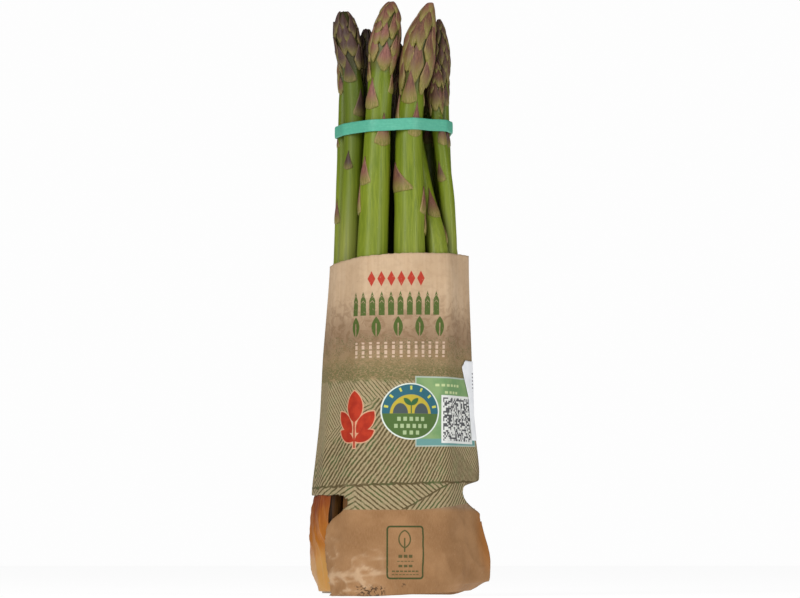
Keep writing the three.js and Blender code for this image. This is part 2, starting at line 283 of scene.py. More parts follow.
def scale_patch(shell, i, base, angle, length, half, tone, bud, rng, across=8, along=12):
    """One bract or bud scale: a pad with a rounded foot and a pointed tip that wraps its spear."""
    s = SPEARS[i]
    u = np.linspace(-1, 1, across + 1)[None, :]
    v = np.linspace(0, 1, along + 1)[:, None]
    if bud:
        width, vee = (1 - v**1.55) ** 1.05 * (0.72 + 0.28 * smooth_step(v, 0, 0.22)), 0.26
    else:
        width, vee = (1 - v) ** 1.12 * (1 - 0.1 * smooth_step(v, 0.12, 0)), 0.1
    ragged = 0.25 * rough(u * 4, v * 0, base * 0.37) * (1 - v) ** 3
    z = base + length * (v + vee * np.abs(u) ** 1.7 * (1 - v) ** 1.6) + ragged
    z = np.where(z > s.top - 2, s.top - 2 + 2 * np.tanh((z - s.top + 2) / 2), z)
    surface = bud_radius(i, z)
    reach = np.minimum(half * np.maximum(width, 0.03) / np.maximum(surface, 0.9), 1.8)
    turn = angle + rng.uniform(-0.07, 0.07) * v + u * reach
    # The pad's thickness: a quick rise from its foot, then a long fall to its tip.
    size = min(max(s.track[:, 2].max(), 3.0), 7.0) / 6.5
    lift = (0.98 if bud else 0.62) * size * (1.0 if base > PAPER_TOP else 0.18)
    crest = 0.28
    rise = 0.42 + 0.58 * np.sin(np.minimum(v / crest, 1) * math.pi / 2)
    fall = 1 - 0.72 * (np.maximum(v - crest, 0) / (1 - crest)) ** 1.25
    crease = 0.12 * np.exp(-((u / 0.16) ** 2)) * np.sin(math.pi * v)
    tip_out = BLUNT[i] * 0.9 * v**3 if bud else 0
    core = surface * (0.9 if bud else 1.0)
    front = core + lift * (np.where(v < crest, rise, fall) * (1 - 0.42 * u**2) + crease) + 0.08 + tip_out
    back = np.broadcast_to(core - 0.35 * size + tip_out * 0.9, front.shape)
    outer, inner = s.at(z, turn, front), s.at(z, turn, np.maximum(back, 0.05))
    ring = np.concatenate([outer, inner[:, ::-1]], 1)
    marks = [np.broadcast_to(mark, front.shape) for mark in (v, np.abs(u))]
    sv, su = (np.concatenate([mark, mark[:, ::-1]], 1) for mark in marks)
    first = shell.add(ring, kind=1, sv=sv, su=su, tone=tone, shade=SHADE[i], crowd=crowding(ring, i))
    cols = ring.shape[1]
    shell.tube(first, along + 1, cols)
    for row in (0, along):
        start = first + row * cols
        for k in range(across):
            face = (start + k, start + k + 1, start + cols - 2 - k, start + cols - 1 - k)
            shell.faces.append(face if row else face[::-1])


def stem(shell, i, rng, sides):
    """The stem and the core of the bud, with soft ridges, and its cut foot."""
    s = SPEARS[i]
    z = np.concatenate([np.arange(s.foot, s.neck, 1.6), np.arange(s.neck, s.top - 0.6, 0.9)])
    angle = np.linspace(0, 2 * math.pi, sides, endpoint=False)[None, :]
    height = z[:, None]
    phase = rng.uniform(0, 6.28)
    ridges = 0.010 * np.sin(9 * angle + phase + height / 37)
    ridges = ridges + 0.007 * np.sin(17 * angle - phase + height / 23)
    swell = 0.012 * np.sin(height / 9.0 + phase) + 0.006 * np.sin(height / 4.1 + 2 * angle)
    core = np.where(height > s.neck + 2, 0.86, 1.0 - 0.14 * smooth_step(height, s.neck - 6, s.neck + 2))
    knees = 0 * height * angle
    for base, side, *_ in FRONT_SCALES.get(i, []):
        if base < s.neck - 4:
            off = (angle - math.radians(side) + math.pi) % (2 * math.pi) - math.pi
            knees = knees + 0.06 * np.exp(-(((height - base - 1) / 4.5) ** 2) - (off / 0.75) ** 2)
    r = bud_radius(i, height) * core * (0.975 + ridges + swell + knees)
    p = s.at(height, angle, r)
    along = (height - s.foot) / (s.neck - s.foot) + 0 * angle
    first = shell.add(p, kind=0, sv=along, shade=SHADE[i], tone=rng.random(), crowd=crowding(p, i))
    shell.tube(first, len(z), sides)
    ring, hollow = first, 0.25
    for share in (0.9, 0.55):
        cut = s.at(s.foot + hollow * (1 - share) + 0 * angle, angle, s.r(s.foot) * share)[0]
        inner = shell.add(cut, kind=2, shade=SHADE[i])
        shell.belt(inner, ring, sides)
        ring = inner
    middle = shell.add(s.at(s.foot + hollow, 0.0, 0.0)[None, :], kind=2, shade=SHADE[i])
    shell.fan(ring, middle, sides, below=True)
    tip = shell.add(s.at(s.top, 0.0, 0.0)[None, :], kind=1, sv=1, shade=SHADE[i], tone=0.8)
    shell.fan(first + (len(z) - 1) * sides, tip, sides)


def grow_spear(i, material):
    """A spear: its stem, the scales of its bud, and its bracts. The front's are placed one by one."""
    s, rng = SPEARS[i], random.Random(100 + i)
    shell = Shell()
    near = i < NEAR_SPEARS
    stem(shell, i, rng, 40 if near else 28)
    given = FRONT_SCALES.get(i, [])
    length = s.top - s.neck
    widest = s.track[:, 2][s.z > s.neck].max()
    turn = rng.uniform(0, 6.28)
    for k in range(BUD_SCALES):
        share = (k + 0.5) / BUD_SCALES
        base = s.neck + length * (-0.08 + 0.93 * share)
        angle = (turn + k * GOLDEN + rng.uniform(-0.1, 0.1) + math.pi) % (2 * math.pi) - math.pi
        long = length * (0.42 - 0.17 * share) * rng.uniform(0.9, 1.15) * LONG_SCALES.get(i, 1.0)
        half = widest * (0.45 - 0.15 * share) * rng.uniform(0.9, 1.1)
        tone = min(1, max(0, SHADE[i] + rng.uniform(-0.25, 0.3)))
        apart = [abs(math.sin((angle - math.radians(side)) / 2)) for _, side, *_ in given]
        taken = any(abs(base - scale[0]) < 4.5 and far < 0.22 for scale, far in zip(given, apart))
        if not taken:
            scale_patch(shell, i, base, angle, long, half, tone, True, rng)
    # The bracts stand closer together towards the bud.
    z, gap, k = s.neck - 7.0, 7.0, 0
    while z > s.foot + 12:
        angle = (turn + 1 + k * GOLDEN) % (2 * math.pi) - math.pi
        seen = abs(angle) < 1.45 and near and z > PAPER_TOP - 14
        if not seen:
            r = float(s.r(z))
            long = r * rng.uniform(1.9, 2.3)
            scale_patch(shell, i, z, angle, long, r * 0.62, rng.uniform(0.1, 0.7), False, rng)
        z, gap, k = z - gap, gap * 1.22, k + 1
    for base, angle, long, half, tone in given:
        bud = base > s.neck - 4
        scale_patch(shell, i, base, math.radians(angle), long, half, tone, bud, rng, 12, 18)
    return place(shell.build(NAMES[i] + "_grown", material), NAMES[i], "asparagus")


def place(piece, node, slot):
    """Puts a piece in its CAD node's stead, on the root body."""
    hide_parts(node)
    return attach(piece, "root")


# ---------------------------------------------------------------- outlines round the spears


def tree_of(node):
    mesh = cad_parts[node].data
    mesh.calc_loop_triangles()
    return BVHTree.FromPolygons(
        [v.co[:] for v in mesh.vertices], [tuple(t.vertices) for t in mesh.loop_triangles]
    )


def crease_line(tree, side):
    """Where the outside of one folded edge of the CAD sleeve stands, as arrays of heights and x."""
    heights, found = [], []
    for z in np.arange(0.5, 140, 1.5):
        hit = tree.ray_cast(Vector((side * 0.2, CREASE_Y * MM, z * MM)), Vector((-side, 0, 0)))[0]
        if hit is not None and side * hit.x > 0.025:
            heights.append(z)
            found.append(hit.x / MM)
    return np.array(heights), np.array(found)


DRAW_IN, DRAW_IN_DEPTH = 0.42, 17.0  # how far a disc draws in for each mm below, and where it ends
FOOT_MARGIN = 6.5  # a disc stays in place this far below its spear's foot
SHORT_FOOT = 6.0  # a spear whose foot is higher than this is a short one


def discs_at(z, grow):
    """The spears as discs at a height. Below its foot a short spear's disc draws in towards the middle."""
    discs = []
    for s in SPEARS:
        below = max(float(s.foot) - FOOT_MARGIN - z, 0)
        if z < s.top and below < DRAW_IN_DEPTH:
            x, y = float(s.x(z)), float(s.y(z))
            pull = DRAW_IN * below if s.foot > SHORT_FOOT else 0
            away = math.hypot(x, y)
            discs.append((x - x / away * pull, y - y / away * pull, float(s.r(z)) + grow))
    return discs


def outline(discs, count=720):
    """The convex outline of discs, counterclockwise from the right end, by its farthest point each way."""
    c = np.array(discs)
    turn = (np.arange(count) + 0.5) / count * 2 * math.pi
    way = np.stack([np.cos(turn), np.sin(turn)], 1)
    best = (way @ c[:, :2].T + c[:, 2]).argmax(1)
    return c[best, :2] + way * c[best, 2:]


def evenly(chain, shares):
    """Points at shares of a chain's length, and its length."""
    step = np.hypot(*np.diff(chain, axis=0).T)
    run = np.concatenate([[0], np.cumsum(step)])
    at = np.asarray(shares) * run[-1]
    return np.stack([np.interp(at, run, chain[:, k]) for k in (0, 1)], 1), run[-1]


sleeve_tree = tree_of("paper_sleeve")
low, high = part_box("paper_sleeve")
CREASE_Y = float((low.y + high.y) / 2 / MM) + 1.0
LEFT_LINE = crease_line(sleeve_tree, -1)
RIGHT_LINE = crease_line(sleeve_tree, 1)
PAPER_GAP = 0.8
FOLD_R = 0.25


class Sleeve:
    """The sleeve's surface, by height and by the share of the way across its front or its back."""

    SHARES = np.linspace(0, 1, 201)

    def __init__(self):
        self.heights = np.arange(0.0, 147.0, 3.0)
        front, back = [], []
        for z in self.heights:
            grow = float(np.interp(z, [0, 50, 62], [1.35, 1.35, PAPER_GAP]))
            discs = discs_at(max(z, 1.3), grow)
            for line, side in ((LEFT_LINE, -1), (RIGHT_LINE, 1)):
                edge = float(np.interp(z, *line))
                discs.append((edge - side * FOLD_R, CREASE_Y, FOLD_R))
            ring = outline(discs)
            half = len(ring) // 2
            front.append(evenly(ring[half:], self.SHARES)[0])
            back.append(evenly(ring[:half], self.SHARES)[0])
        self.front, self.back = self.soft(np.array(front)), self.soft(np.array(back))
        runs = [self.runs(rings) for rings in (self.front, self.back)]
        self.wide, self.deep = runs[0][:, -1], runs[1][:, -1]
        centre = [np.interp(0, ring[:, 0], run) for ring, run in zip(self.front, runs[0])]
        front = runs[0] - np.array(centre)[:, None]
        self.u = [front, front[:, -1:] + runs[1], front[:, :1] - (self.deep[:, None] - runs[1])]

    @staticmethod
    def runs(rings):
        """Length along each ring up to each of its points."""
        step = np.diff(rings, axis=1)
        run = np.cumsum(np.hypot(step[..., 0], step[..., 1]), 1)
        return np.concatenate([np.zeros((len(rings), 1)), run], 1)

    @staticmethod
    def soft(rings):
        return blurred(np.stack([blurred(r, 4) for r in rings]), 1.2)

    def at(self, rings, share, z):
        share, z = np.broadcast_arrays(np.asarray(share, float), np.asarray(z, float))
        row = np.clip((z - self.heights[0]) / 3.0, 0, len(self.heights) - 1.001)
        col = np.clip(share, 0, 1) * (len(self.SHARES) - 1.001)
        r, c = row.astype(int), col.astype(int)
        fr, fc = (row - r)[..., None], (col - c)[..., None]
        low = rings[r, c] * (1 - fc) + rings[r, c + 1] * fc
        high = rings[r + 1, c] * (1 - fc) + rings[r + 1, c + 1] * fc
        return low * (1 - fr) + high * fr

    def point(self, way, share, z):
        """Position on the front (way 0) or back (way 1)."""
        front, back = self.at(self.front, share, z), self.at(self.back, share, z)
        xy = np.where(np.asarray(way)[..., None] == 0, front, back)
        return np.concatenate([xy, np.broadcast_to(z, xy.shape[:-1])[..., None]], -1)

    def unrolled(self, way, share, z):
        """Distance along the paper from the line x = 0 on the front."""
        front, right, left = (self.at(table[..., None], share, z)[..., 0] for table in self.u)
        return np.where(way == 0, front, np.where(way == 1, right, left))

    def across(self, x, z):
        """Distance along the paper of the front's point at x."""
        line = self.at(self.front, self.SHARES, np.full(len(self.SHARES), float(z)))[:, 0]
        share = np.interp(x, line, self.SHARES)
        return float(self.unrolled(0, share, z))


SLEEVE = Sleeve()


def notch_from_cad(side):
    """Rows of (height, x) along a notch's inner edge, found by casting rays at the CAD sleeve's front."""
    rows = []
    for z in np.arange(0.3, 52, 0.4):
        xs = np.arange(16.0, 40.0, 0.25) * side
        starts = [Vector((x * MM, -0.2, z * MM)) for x in xs]
        hits = [sleeve_tree.ray_cast(start, Vector((0, 1, 0)))[0] is not None for start in starts]
        solid = [abs(x) for x, hit in zip(xs, hits) if hit]
        rows.append((z, side * max(solid) if solid else side * 16.0))
    return np.array(rows)


def torn(x, seed, size=0.35):
    """How far a torn edge strays, along its run."""
    return size * rough(x, 0, seed, 1.6) + 0.6 * size * rough(x, 0, seed + 3, 0.6)


# ---------------------------------------------------------------- material tools


def srgb(r, g, b):
    """A colour from 0-255 screen values, as the linear values that sockets take."""
    return tuple(
        (c / 255 / 12.92 if c / 255 <= 0.04045 else ((c / 255 + 0.055) / 1.055) ** 2.4) for c in (r, g, b)
    ) + (1.0,)


def feed(tree, value, socket):
    """Links a shader value to a socket, or sets a constant on it."""
    value = value.out if isinstance(value, Sock) else value
    if isinstance(value, bpy.types.NodeSocket):
        tree.links.new(value, socket)
    else:
        socket.default_value = value


def shader_math(operation):
    """A method that joins a shader value and any others in one math node."""
    return lambda self, *others: self.math(operation, *others)


class Sock:
    """A shader value that can be added, multiplied and compared."""

    def __init__(self, tree, out):
        self.tree, self.out = tree, out

    def math(self, operation, *others):
        node = self.tree.nodes.new("ShaderNodeMath")
        node.operation = operation
        for value, socket in zip((self, *others), node.inputs):
            feed(self.tree, value, socket)
        return Sock(self.tree, node.outputs[0])

    __add__ = __radd__ = shader_math("ADD")
    __sub__ = shader_math("SUBTRACT")
    __mul__ = __rmul__ = shader_math("MULTIPLY")
    __truediv__ = shader_math("DIVIDE")
    __abs__ = shader_math("ABSOLUTE")
    least, most = shader_math("MINIMUM"), shader_math("MAXIMUM")
    floor, part = shader_math("FLOOR"), shader_math("FRACT")

    def __rsub__(self, other):
        return (self * -1) + other

    def ramp(self, low, high):
        """0 below low and 1 above high, smooth between; falls instead if high is the lower."""
        node = self.tree.nodes.new("ShaderNodeMapRange")
        node.interpolation_type = "SMOOTHSTEP"
        feed(self.tree, self, node.inputs["Value"])
        ends = (min(low, high), max(low, high), float(high < low), float(high >= low))
        for name, value in zip(("From Min", "From Max", "To Min", "To Max"), ends):
            node.inputs[name].default_value = value
        return Sock(self.tree, node.outputs[0])


class Look:
    """A node material with one Principled shader."""

    def __init__(self, name, roughness=0.6, **settings):
        self.material = bpy.data.materials.new(name)
        self.material.use_nodes = True
        self.tree = self.material.node_tree
        self.shader = self.tree.nodes["Principled BSDF"]
        self.shader.inputs["Roughness"].default_value = roughness
        for key, value in settings.items():
            self.shader.inputs[key.replace("_", " ")].default_value = value

    def node(self, kind, **settings):
        made = self.tree.nodes.new(kind)
        for key, value in settings.items():
            setattr(made, key, value)
        return made

    def mark(self, name):
        return Sock(self.tree, self.node("ShaderNodeAttribute", attribute_name=name).outputs["Fac"])

    def places(self):
        """The surface's place in millimetres."""
        coordinates = self.node("ShaderNodeTexCoord")
        scaled = self.node("ShaderNodeVectorMath", operation="SCALE")
        scaled.inputs["Scale"].default_value = 1 / MM
        self.tree.links.new(coordinates.outputs["Object"], scaled.inputs[0])
        split = self.node("ShaderNodeSeparateXYZ")
        self.tree.links.new(scaled.outputs[0], split.inputs[0])
        return [Sock(self.tree, split.outputs[k]) for k in range(3)]

    def join(self, x, y, z=0.0):
        made = self.node("ShaderNodeCombineXYZ")
        for value, socket in zip((x, y, z), made.inputs):
            feed(self.tree, value, socket)
        return made.outputs[0]

    def noise(self, place, detail=3.0, rough=0.5, warp=0.0, scale=1.0):
        """Smooth noise from 0 to 1 at a place given by two or three values."""
        made = self.node("ShaderNodeTexNoise")
        feed(self.tree, self.join(*place), made.inputs["Vector"])
        for key, value in (("Scale", scale), ("Detail", detail), ("Roughness", rough), ("Distortion", warp)):
            made.inputs[key].default_value = value
        return Sock(self.tree, made.outputs["Fac"])

    def chance(self, place):
        """A random value from 0 to 1 for each pair of whole numbers."""
        made = self.node("ShaderNodeTexWhiteNoise", noise_dimensions="2D")
        feed(self.tree, self.join(*place), made.inputs["Vector"])
        return Sock(self.tree, made.outputs["Value"])

    def mix(self, share, a, b):
        made = self.node("ShaderNodeMix", data_type="RGBA")
        for value, number in ((share, 0), (a, 6), (b, 7)):
            feed(self.tree, value, made.inputs[number])
        return made.outputs[2]

    def layers(self, colour, *others):
        """A colour with others laid over it in turn, each by its share."""
        for share, other in others:
            colour = self.mix(share, colour, other)
        return colour

    def colour(self, out):
        feed(self.tree, out, self.shader.inputs["Base Color"])

    def roughness(self, value):
        feed(self.tree, value, self.shader.inputs["Roughness"])

    def bump(self, height, distance_mm, strength=1.0):
        made = self.node("ShaderNodeBump")
        made.inputs["Strength"].default_value = strength
        made.inputs["Distance"].default_value = distance_mm * MM
        feed(self.tree, height, made.inputs["Height"])
        feed(self.tree, made.outputs[0], self.shader.inputs["Normal"])


# ---------------------------------------------------------------- asparagus


def asparagus_look():
    look = Look("asparagus", roughness=0.45, Specular_IOR_Level=0.3)
    x, y, z = look.places()
    kind, sv, su, tone, shade, crowd = (look.mark(name) for name in Shell.MARKS)
    fibres = look.noise((x * 1.5, y * 1.5, z * 0.05), 4.0, 0.55)
    cloud = look.noise((x * 0.16, y * 0.16, z * 0.05))
    grain = look.noise((x, y, z), 3.0, 0.6, scale=1.6)
    flecks = look.noise((x * 2.4, y * 2.4, z * 0.7), 2.0).ramp(0.68, 0.76)
    # Stem: yellow-green, paler low down, darker towards the bud, and dark brown low in the sleeve: partly the
    # butt's own brown, partly painted shade inside the sleeve.
    green = look.layers(
        look.mix(fibres.ramp(0.3, 0.72), srgb(94, 113, 14), srgb(133, 146, 36)),
        ((cloud - 0.5) * 1.4 + 0.35, srgb(113, 128, 26)),
        (z.ramp(150, 228) * 0.5, srgb(88, 106, 16)),
        (shade * z.ramp(140, 222) * 0.6, srgb(54, 68, 18)),
        (shade * z.ramp(175, 146) * 0.35, srgb(150, 140, 92)),
        # Dark brown low down: the butt's own brown with painted shade inside the sleeve.
        (z.ramp(62, 46) * 0.92, look.mix(fibres.ramp(0.3, 0.7), srgb(70, 34, 18), srgb(122, 72, 32))),
        (z.ramp(20, 6) * 0.6, srgb(196, 180, 156)),
        # Painted shade: the bud's core turns dark above the neck, where it shows in the gaps between scales.
        (sv.ramp(0.985, 1.02) * 0.85, look.mix(shade, srgb(86, 86, 40), srgb(44, 34, 26))),
        (flecks * 0.18, srgb(190, 196, 130)),
    )
    # Bracts: green to tan at the foot, pink or brown above, a pale dry edge, and a dark line inside it that
    # is partly purple-brown margin and partly painted shade at the scale boundaries.
    speckle = look.noise((x * 2.2, y * 2.2, z * 0.5), 3.0, 0.6)
    pink = look.mix(speckle.ramp(0.3, 0.7), srgb(146, 98, 86), srgb(116, 70, 62))
    brown = look.mix(speckle.ramp(0.3, 0.7), srgb(112, 78, 50), srgb(74, 50, 36))
    rise = sv + (speckle - 0.5) * 0.28
    edge = su.ramp(0.8, 0.97) * sv.ramp(1.02, 0.7)
    # The dark line inside the edge: purple-brown margin and painted shade where the scales overlap.
    rim = su.ramp(0.55, 0.8) * su.ramp(0.97, 0.86) * sv.ramp(0.3, 0.6)
    bract = look.layers(
        look.mix(speckle.ramp(0.35, 0.7), srgb(108, 104, 40), srgb(144, 128, 74)),
        (rise.ramp(0.06, 0.56), look.mix(tone, pink, brown)),
        (rise.ramp(0.72, 1.0) * 0.5, srgb(96, 66, 58)),
        (shade.ramp(0.4, 1.0) * (0.78 * 0.55), srgb(52, 36, 38)),
        (shade.ramp(0.3, 1.0) * rise.ramp(0.1, 0.45) * 0.7, srgb(58, 42, 44)),
        (edge * (0.3 - shade * 0.15), srgb(186, 162, 112)),
        (rim * 0.5, srgb(62, 34, 32)),
    )
    cut = look.mix(grain.ramp(0.4, 0.6), srgb(206, 198, 152), srgb(172, 160, 112))
    # Painted shade: near-black in the gaps between spears and deep in the bundle, from the crowd mark.
    painted_gap_shade = crowd * z.ramp(60, 90) * (0.93 - z.ramp(205, 226) * 0.5)
    colour = look.layers(
        green, (kind.ramp(0.4, 0.6), bract), (kind.ramp(1.4, 1.6), cut), (painted_gap_shade, srgb(14, 17, 6))
    )
    look.colour(colour)
    look.roughness(kind.ramp(0, 1) * 0.12 + fibres * 0.15 + 0.34)
    look.bump(fibres * 0.6 + grain * 0.4, 0.12, 0.6)
    return look.material


# ---------------------------------------------------------------- band


BAND_WIDTH, BAND_THICK = 5.0, 1.05
BAND_AROUND, BAND_SECTION = 360, 28  # points along the band and round its section


def grow_band(material):
    """The rubber band: a flat strip with rounded edges, pulled straight between the spears it touches."""
    box_low, box_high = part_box("rubber_band")
    low_z, high_z = box_low.z / MM, box_high.z / MM
    middle = (low_z + high_z) / 2
    slope = (high_z - low_z - BAND_WIDTH) / ((box_high.x - box_low.x) / MM)
    discs = [d for z in (middle - 2, middle, middle + 2) for d in discs_at(z, 0.2)]
    ring = outline(discs, 1440)
    path, _ = evenly(np.concatenate([ring, ring[:1]]), np.linspace(0, 1, BAND_AROUND + 1)[:-1])
    ahead = np.roll(path, -1, 0) - np.roll(path, 1, 0)
    out = np.stack([ahead[:, 1], -ahead[:, 0]], 1)
    out /= np.hypot(*out.T)[:, None]
    turn = np.linspace(0, 2 * math.pi, BAND_SECTION, endpoint=False)
    c, s = np.cos(turn), np.sin(turn)
    across = BAND_THICK / 2 * (1 + np.sign(c) * abs(c) ** 0.42)
    up = BAND_WIDTH / 2 * np.sign(s) * abs(s) ** 0.5
    wave = 0.18 * rough(path[:, 0], path[:, 1], 4.2, 9.0)
    rise = middle + slope * (path[:, 0] - path[:, 0].mean()) + wave
    xy = path[:, None, :] + out[:, None, :] * across[None, :, None]
    points = np.concatenate([xy, (rise[:, None] + up)[..., None]], -1)
    shell = Shell()
    first = shell.add(points)
    for r in range(BAND_AROUND):
        after = (r + 1) % BAND_AROUND
        shell.belt(first + after * BAND_SECTION, first + r * BAND_SECTION, BAND_SECTION)
    return place(shell.build("rubber_band_soft", material), "rubber_band", "teal_rubber")


def rubber_look():
    look = Look("teal_rubber", roughness=0.5, Specular_IOR_Level=0.4)
    x, y, z = look.places()
    dust = look.noise((x, y, z), 4.0, 0.6, scale=0.9)
    lines = look.noise((x * 0.2, y * 0.2, z * 3.0), 2.0)
    colour = look.mix(dust.ramp(0.35, 0.7), srgb(76, 160, 134), srgb(84, 168, 141))
    look.colour(look.mix(lines.ramp(0.5, 0.75) * 0.3, colour, srgb(112, 186, 158)))
    look.bump(lines * 0.5 + dust * 0.5, 0.08, 0.5)
    return look.material


# ---------------------------------------------------------------- paper


def inside(polygon, x, z):
    """Even-odd test of many points against a closed outline."""
    hit = np.zeros(np.shape(x), bool)
    for (x0, z0), (x1, z1) in zip(polygon, np.roll(polygon, -1, 0)):
        if z0 == z1:
            continue
        crosses = (z0 > z) != (z1 > z)
        hit ^= crosses & (x < x0 + (z - z0) * (x1 - x0) / (z1 - z0))
    return hit


def notch_outlines():
    """The two notches in the sleeve, as closed outlines of (x, height) with torn edges."""
    left = notch_from_cad(-1)
    left = left[left[:, 1] > -33]
    top = left[-1, 0] + 0.4
    edge = blurred(left, 1.5)
    edge[:, 1] += torn(edge[:, 0], 1.0)
    xs = np.arange(edge[-1, 1], -50, -0.4)
    roof = np.stack([xs, top + 0.55 * torn(xs, 7.0, 0.9)], 1)
    left_outline = np.concatenate([[(-50, -6), (edge[0, 1] + 0.3, -6)], edge[:, ::-1], roof])
    right = notch_from_cad(1)
    right = right[(right[:, 1] < 33.6) & (right[:, 0] > 30)]
    bite = blurred(right, 1.2)
    bite[:, 1] += torn(bite[:, 0], 5.0, 0.2)
    ends = [(50, bite[-1, 0] + 0.1), (50, bite[0, 0] - 0.1)]
    return left_outline, np.concatenate([bite[:, ::-1], ends])


def trim(points, faces, outlines, near):
    """Cuts outlines out of a sheet: its nearby points move onto the edge, and the faces inside go."""
    x, z = points[:, 0].copy(), points[:, 2].copy()
    for polygon in outlines:
        dense = []
        for a, b in zip(polygon, np.roll(polygon, -1, 0)):
            n = max(1, int(np.hypot(*(b - a)) / 0.12))
            dense.append(a + (b - a) * (np.arange(n) / n)[:, None])
        dense = np.concatenate(dense)
        box_low, box_high = dense.min(0) - 1, dense.max(0) + 1
        close = np.nonzero((x > box_low[0]) & (x < box_high[0]) & (z > box_low[1]) & (z < box_high[1]))[0]
        for k in close:
            gap = np.hypot(dense[:, 0] - x[k], dense[:, 1] - z[k])
            best = gap.argmin()
            if gap[best] < near:
                points[k, 0], points[k, 2] = dense[best]
    faces = np.array(faces)
    middle = points[faces].mean(1)
    gone = np.zeros(len(faces), bool)
    for polygon in outlines:
        gone |= inside(polygon, middle[:, 0], middle[:, 2])
    faces = faces[~gone]
    used = np.unique(faces)
    renumber = np.full(len(points), -1)
    renumber[used] = np.arange(len(used))
    return points[used], renumber[faces], used


def grid_faces(rows, cols):
    r, c = np.meshgrid(np.arange(rows - 1), np.arange(cols - 1), indexing="ij")
    a = (r * cols + c).ravel()
    return np.stack([a, a + 1, a + cols + 1, a + cols], 1)


# By x: the heights of the bottom fold and of the cut top edge.
FOLD_LINE = ([-29, -23, -15, -6, 0, 8, 21, 37], [0.6, 1.1, 2.3, 3.2, 3.8, 3.3, 4.6, 6.3])
TOP_LINE = ([-30, -18, -2, 17, 30], [139.4, 141.3, 142.6, 143.2, 144.0])
FLOOR_SLOPE, FLOOR_MIDDLE = 0.05, (-2.0, 0.0)
FLOOR_RINGS = (0.008, 0.018, 0.03, 0.055, 0.09, 0.14, 0.2, 0.3, 0.42, 0.56, 0.7, 0.84, 0.95, 0.992)
COLUMN_MM, SHEET_ROWS = 0.75, 181
BACK_LAP = 6.0  # how far the sheet's two ends overlap at the back


def sleeve_columns():
    """Each column's side (0 front, 1 right back, 2 left back) and its share of the way across it."""
    front = np.linspace(0, 1, int(105 / COLUMN_MM))
    half = np.linspace(0, 0.5, int(50 / COLUMN_MM))
    lap = BACK_LAP / 97
    left = 0.5 - lap + np.linspace(0, 0.5 + lap, int(56 / COLUMN_MM))
    way = np.concatenate([np.full(len(left) - 1, 2), np.zeros(len(front)), np.ones(len(half) - 1)])
    share = np.concatenate([left[:-1], front, half[1:]])
    return way, share


def ridge(x, y, seed, sharp):
    """A sharp line along the zero of smooth noise, from 1 on the line to 0."""
    return np.clip(1 - np.abs(rough(x, y, seed)) * sharp, 0, 1) ** 2


def creases(u, z):
    """Sharp ridges of the crumpled lower left of the sleeve, in millimetres."""
    corner = smooth_step(z, 40, 16) * (0.3 + 0.7 * smooth_step(u, 6, -20))
    corner = corner * (0.45 + 0.55 * smooth_step(z, 26, 8))
    ridges = ridge((u - 0.5 * z) / 9, (z + 0.3 * u) / 8, 21.0, 4.5)
    ridges = ridges + 0.7 * ridge(u / 15, z / 6, 27.0, 5.0)
    ridges = ridges + 0.7 * ridge((u + 0.6 * z) / 10, (z - 0.2 * u) / 16, 33.0, 5.0)
    bend = z - 9.0 - 0.06 * (u + 20) - 1.2 * rough(u / 6, 0, 3.0)
    hem = np.exp(-((bend / 0.9) ** 2)) * smooth_step(u, -5, -11)
    return corner * ridges * 0.75 + 0.7 * hem


def paper_relief(u, z):
    """How far the sleeve's paper stands out from its smooth form, in millimetres."""
    soft = 0.42 * rough(u / 9, z / 70, 2.0)
    fine = 0.13 * rough(u / 3.2, z / 9, 8.0)
    bent = np.abs(rough(u / 15, z / 11, 5.0))
    crumple = smooth_step(z, 50, 12) * (0.55 - 1.5 * bent + 0.25 * rough(u / 5, z / 4.5, 9.0))
    diagonal = np.abs(rough((u + 0.8 * z) / 17, (z - 0.4 * u) / 26, 12.0))
    least = -0.3 + 0.25 * smooth_step(z, 66, 50)
    return np.maximum(soft + fine + (crumple + creases(u, z)) + 0.3 * (0.4 - diagonal), least)


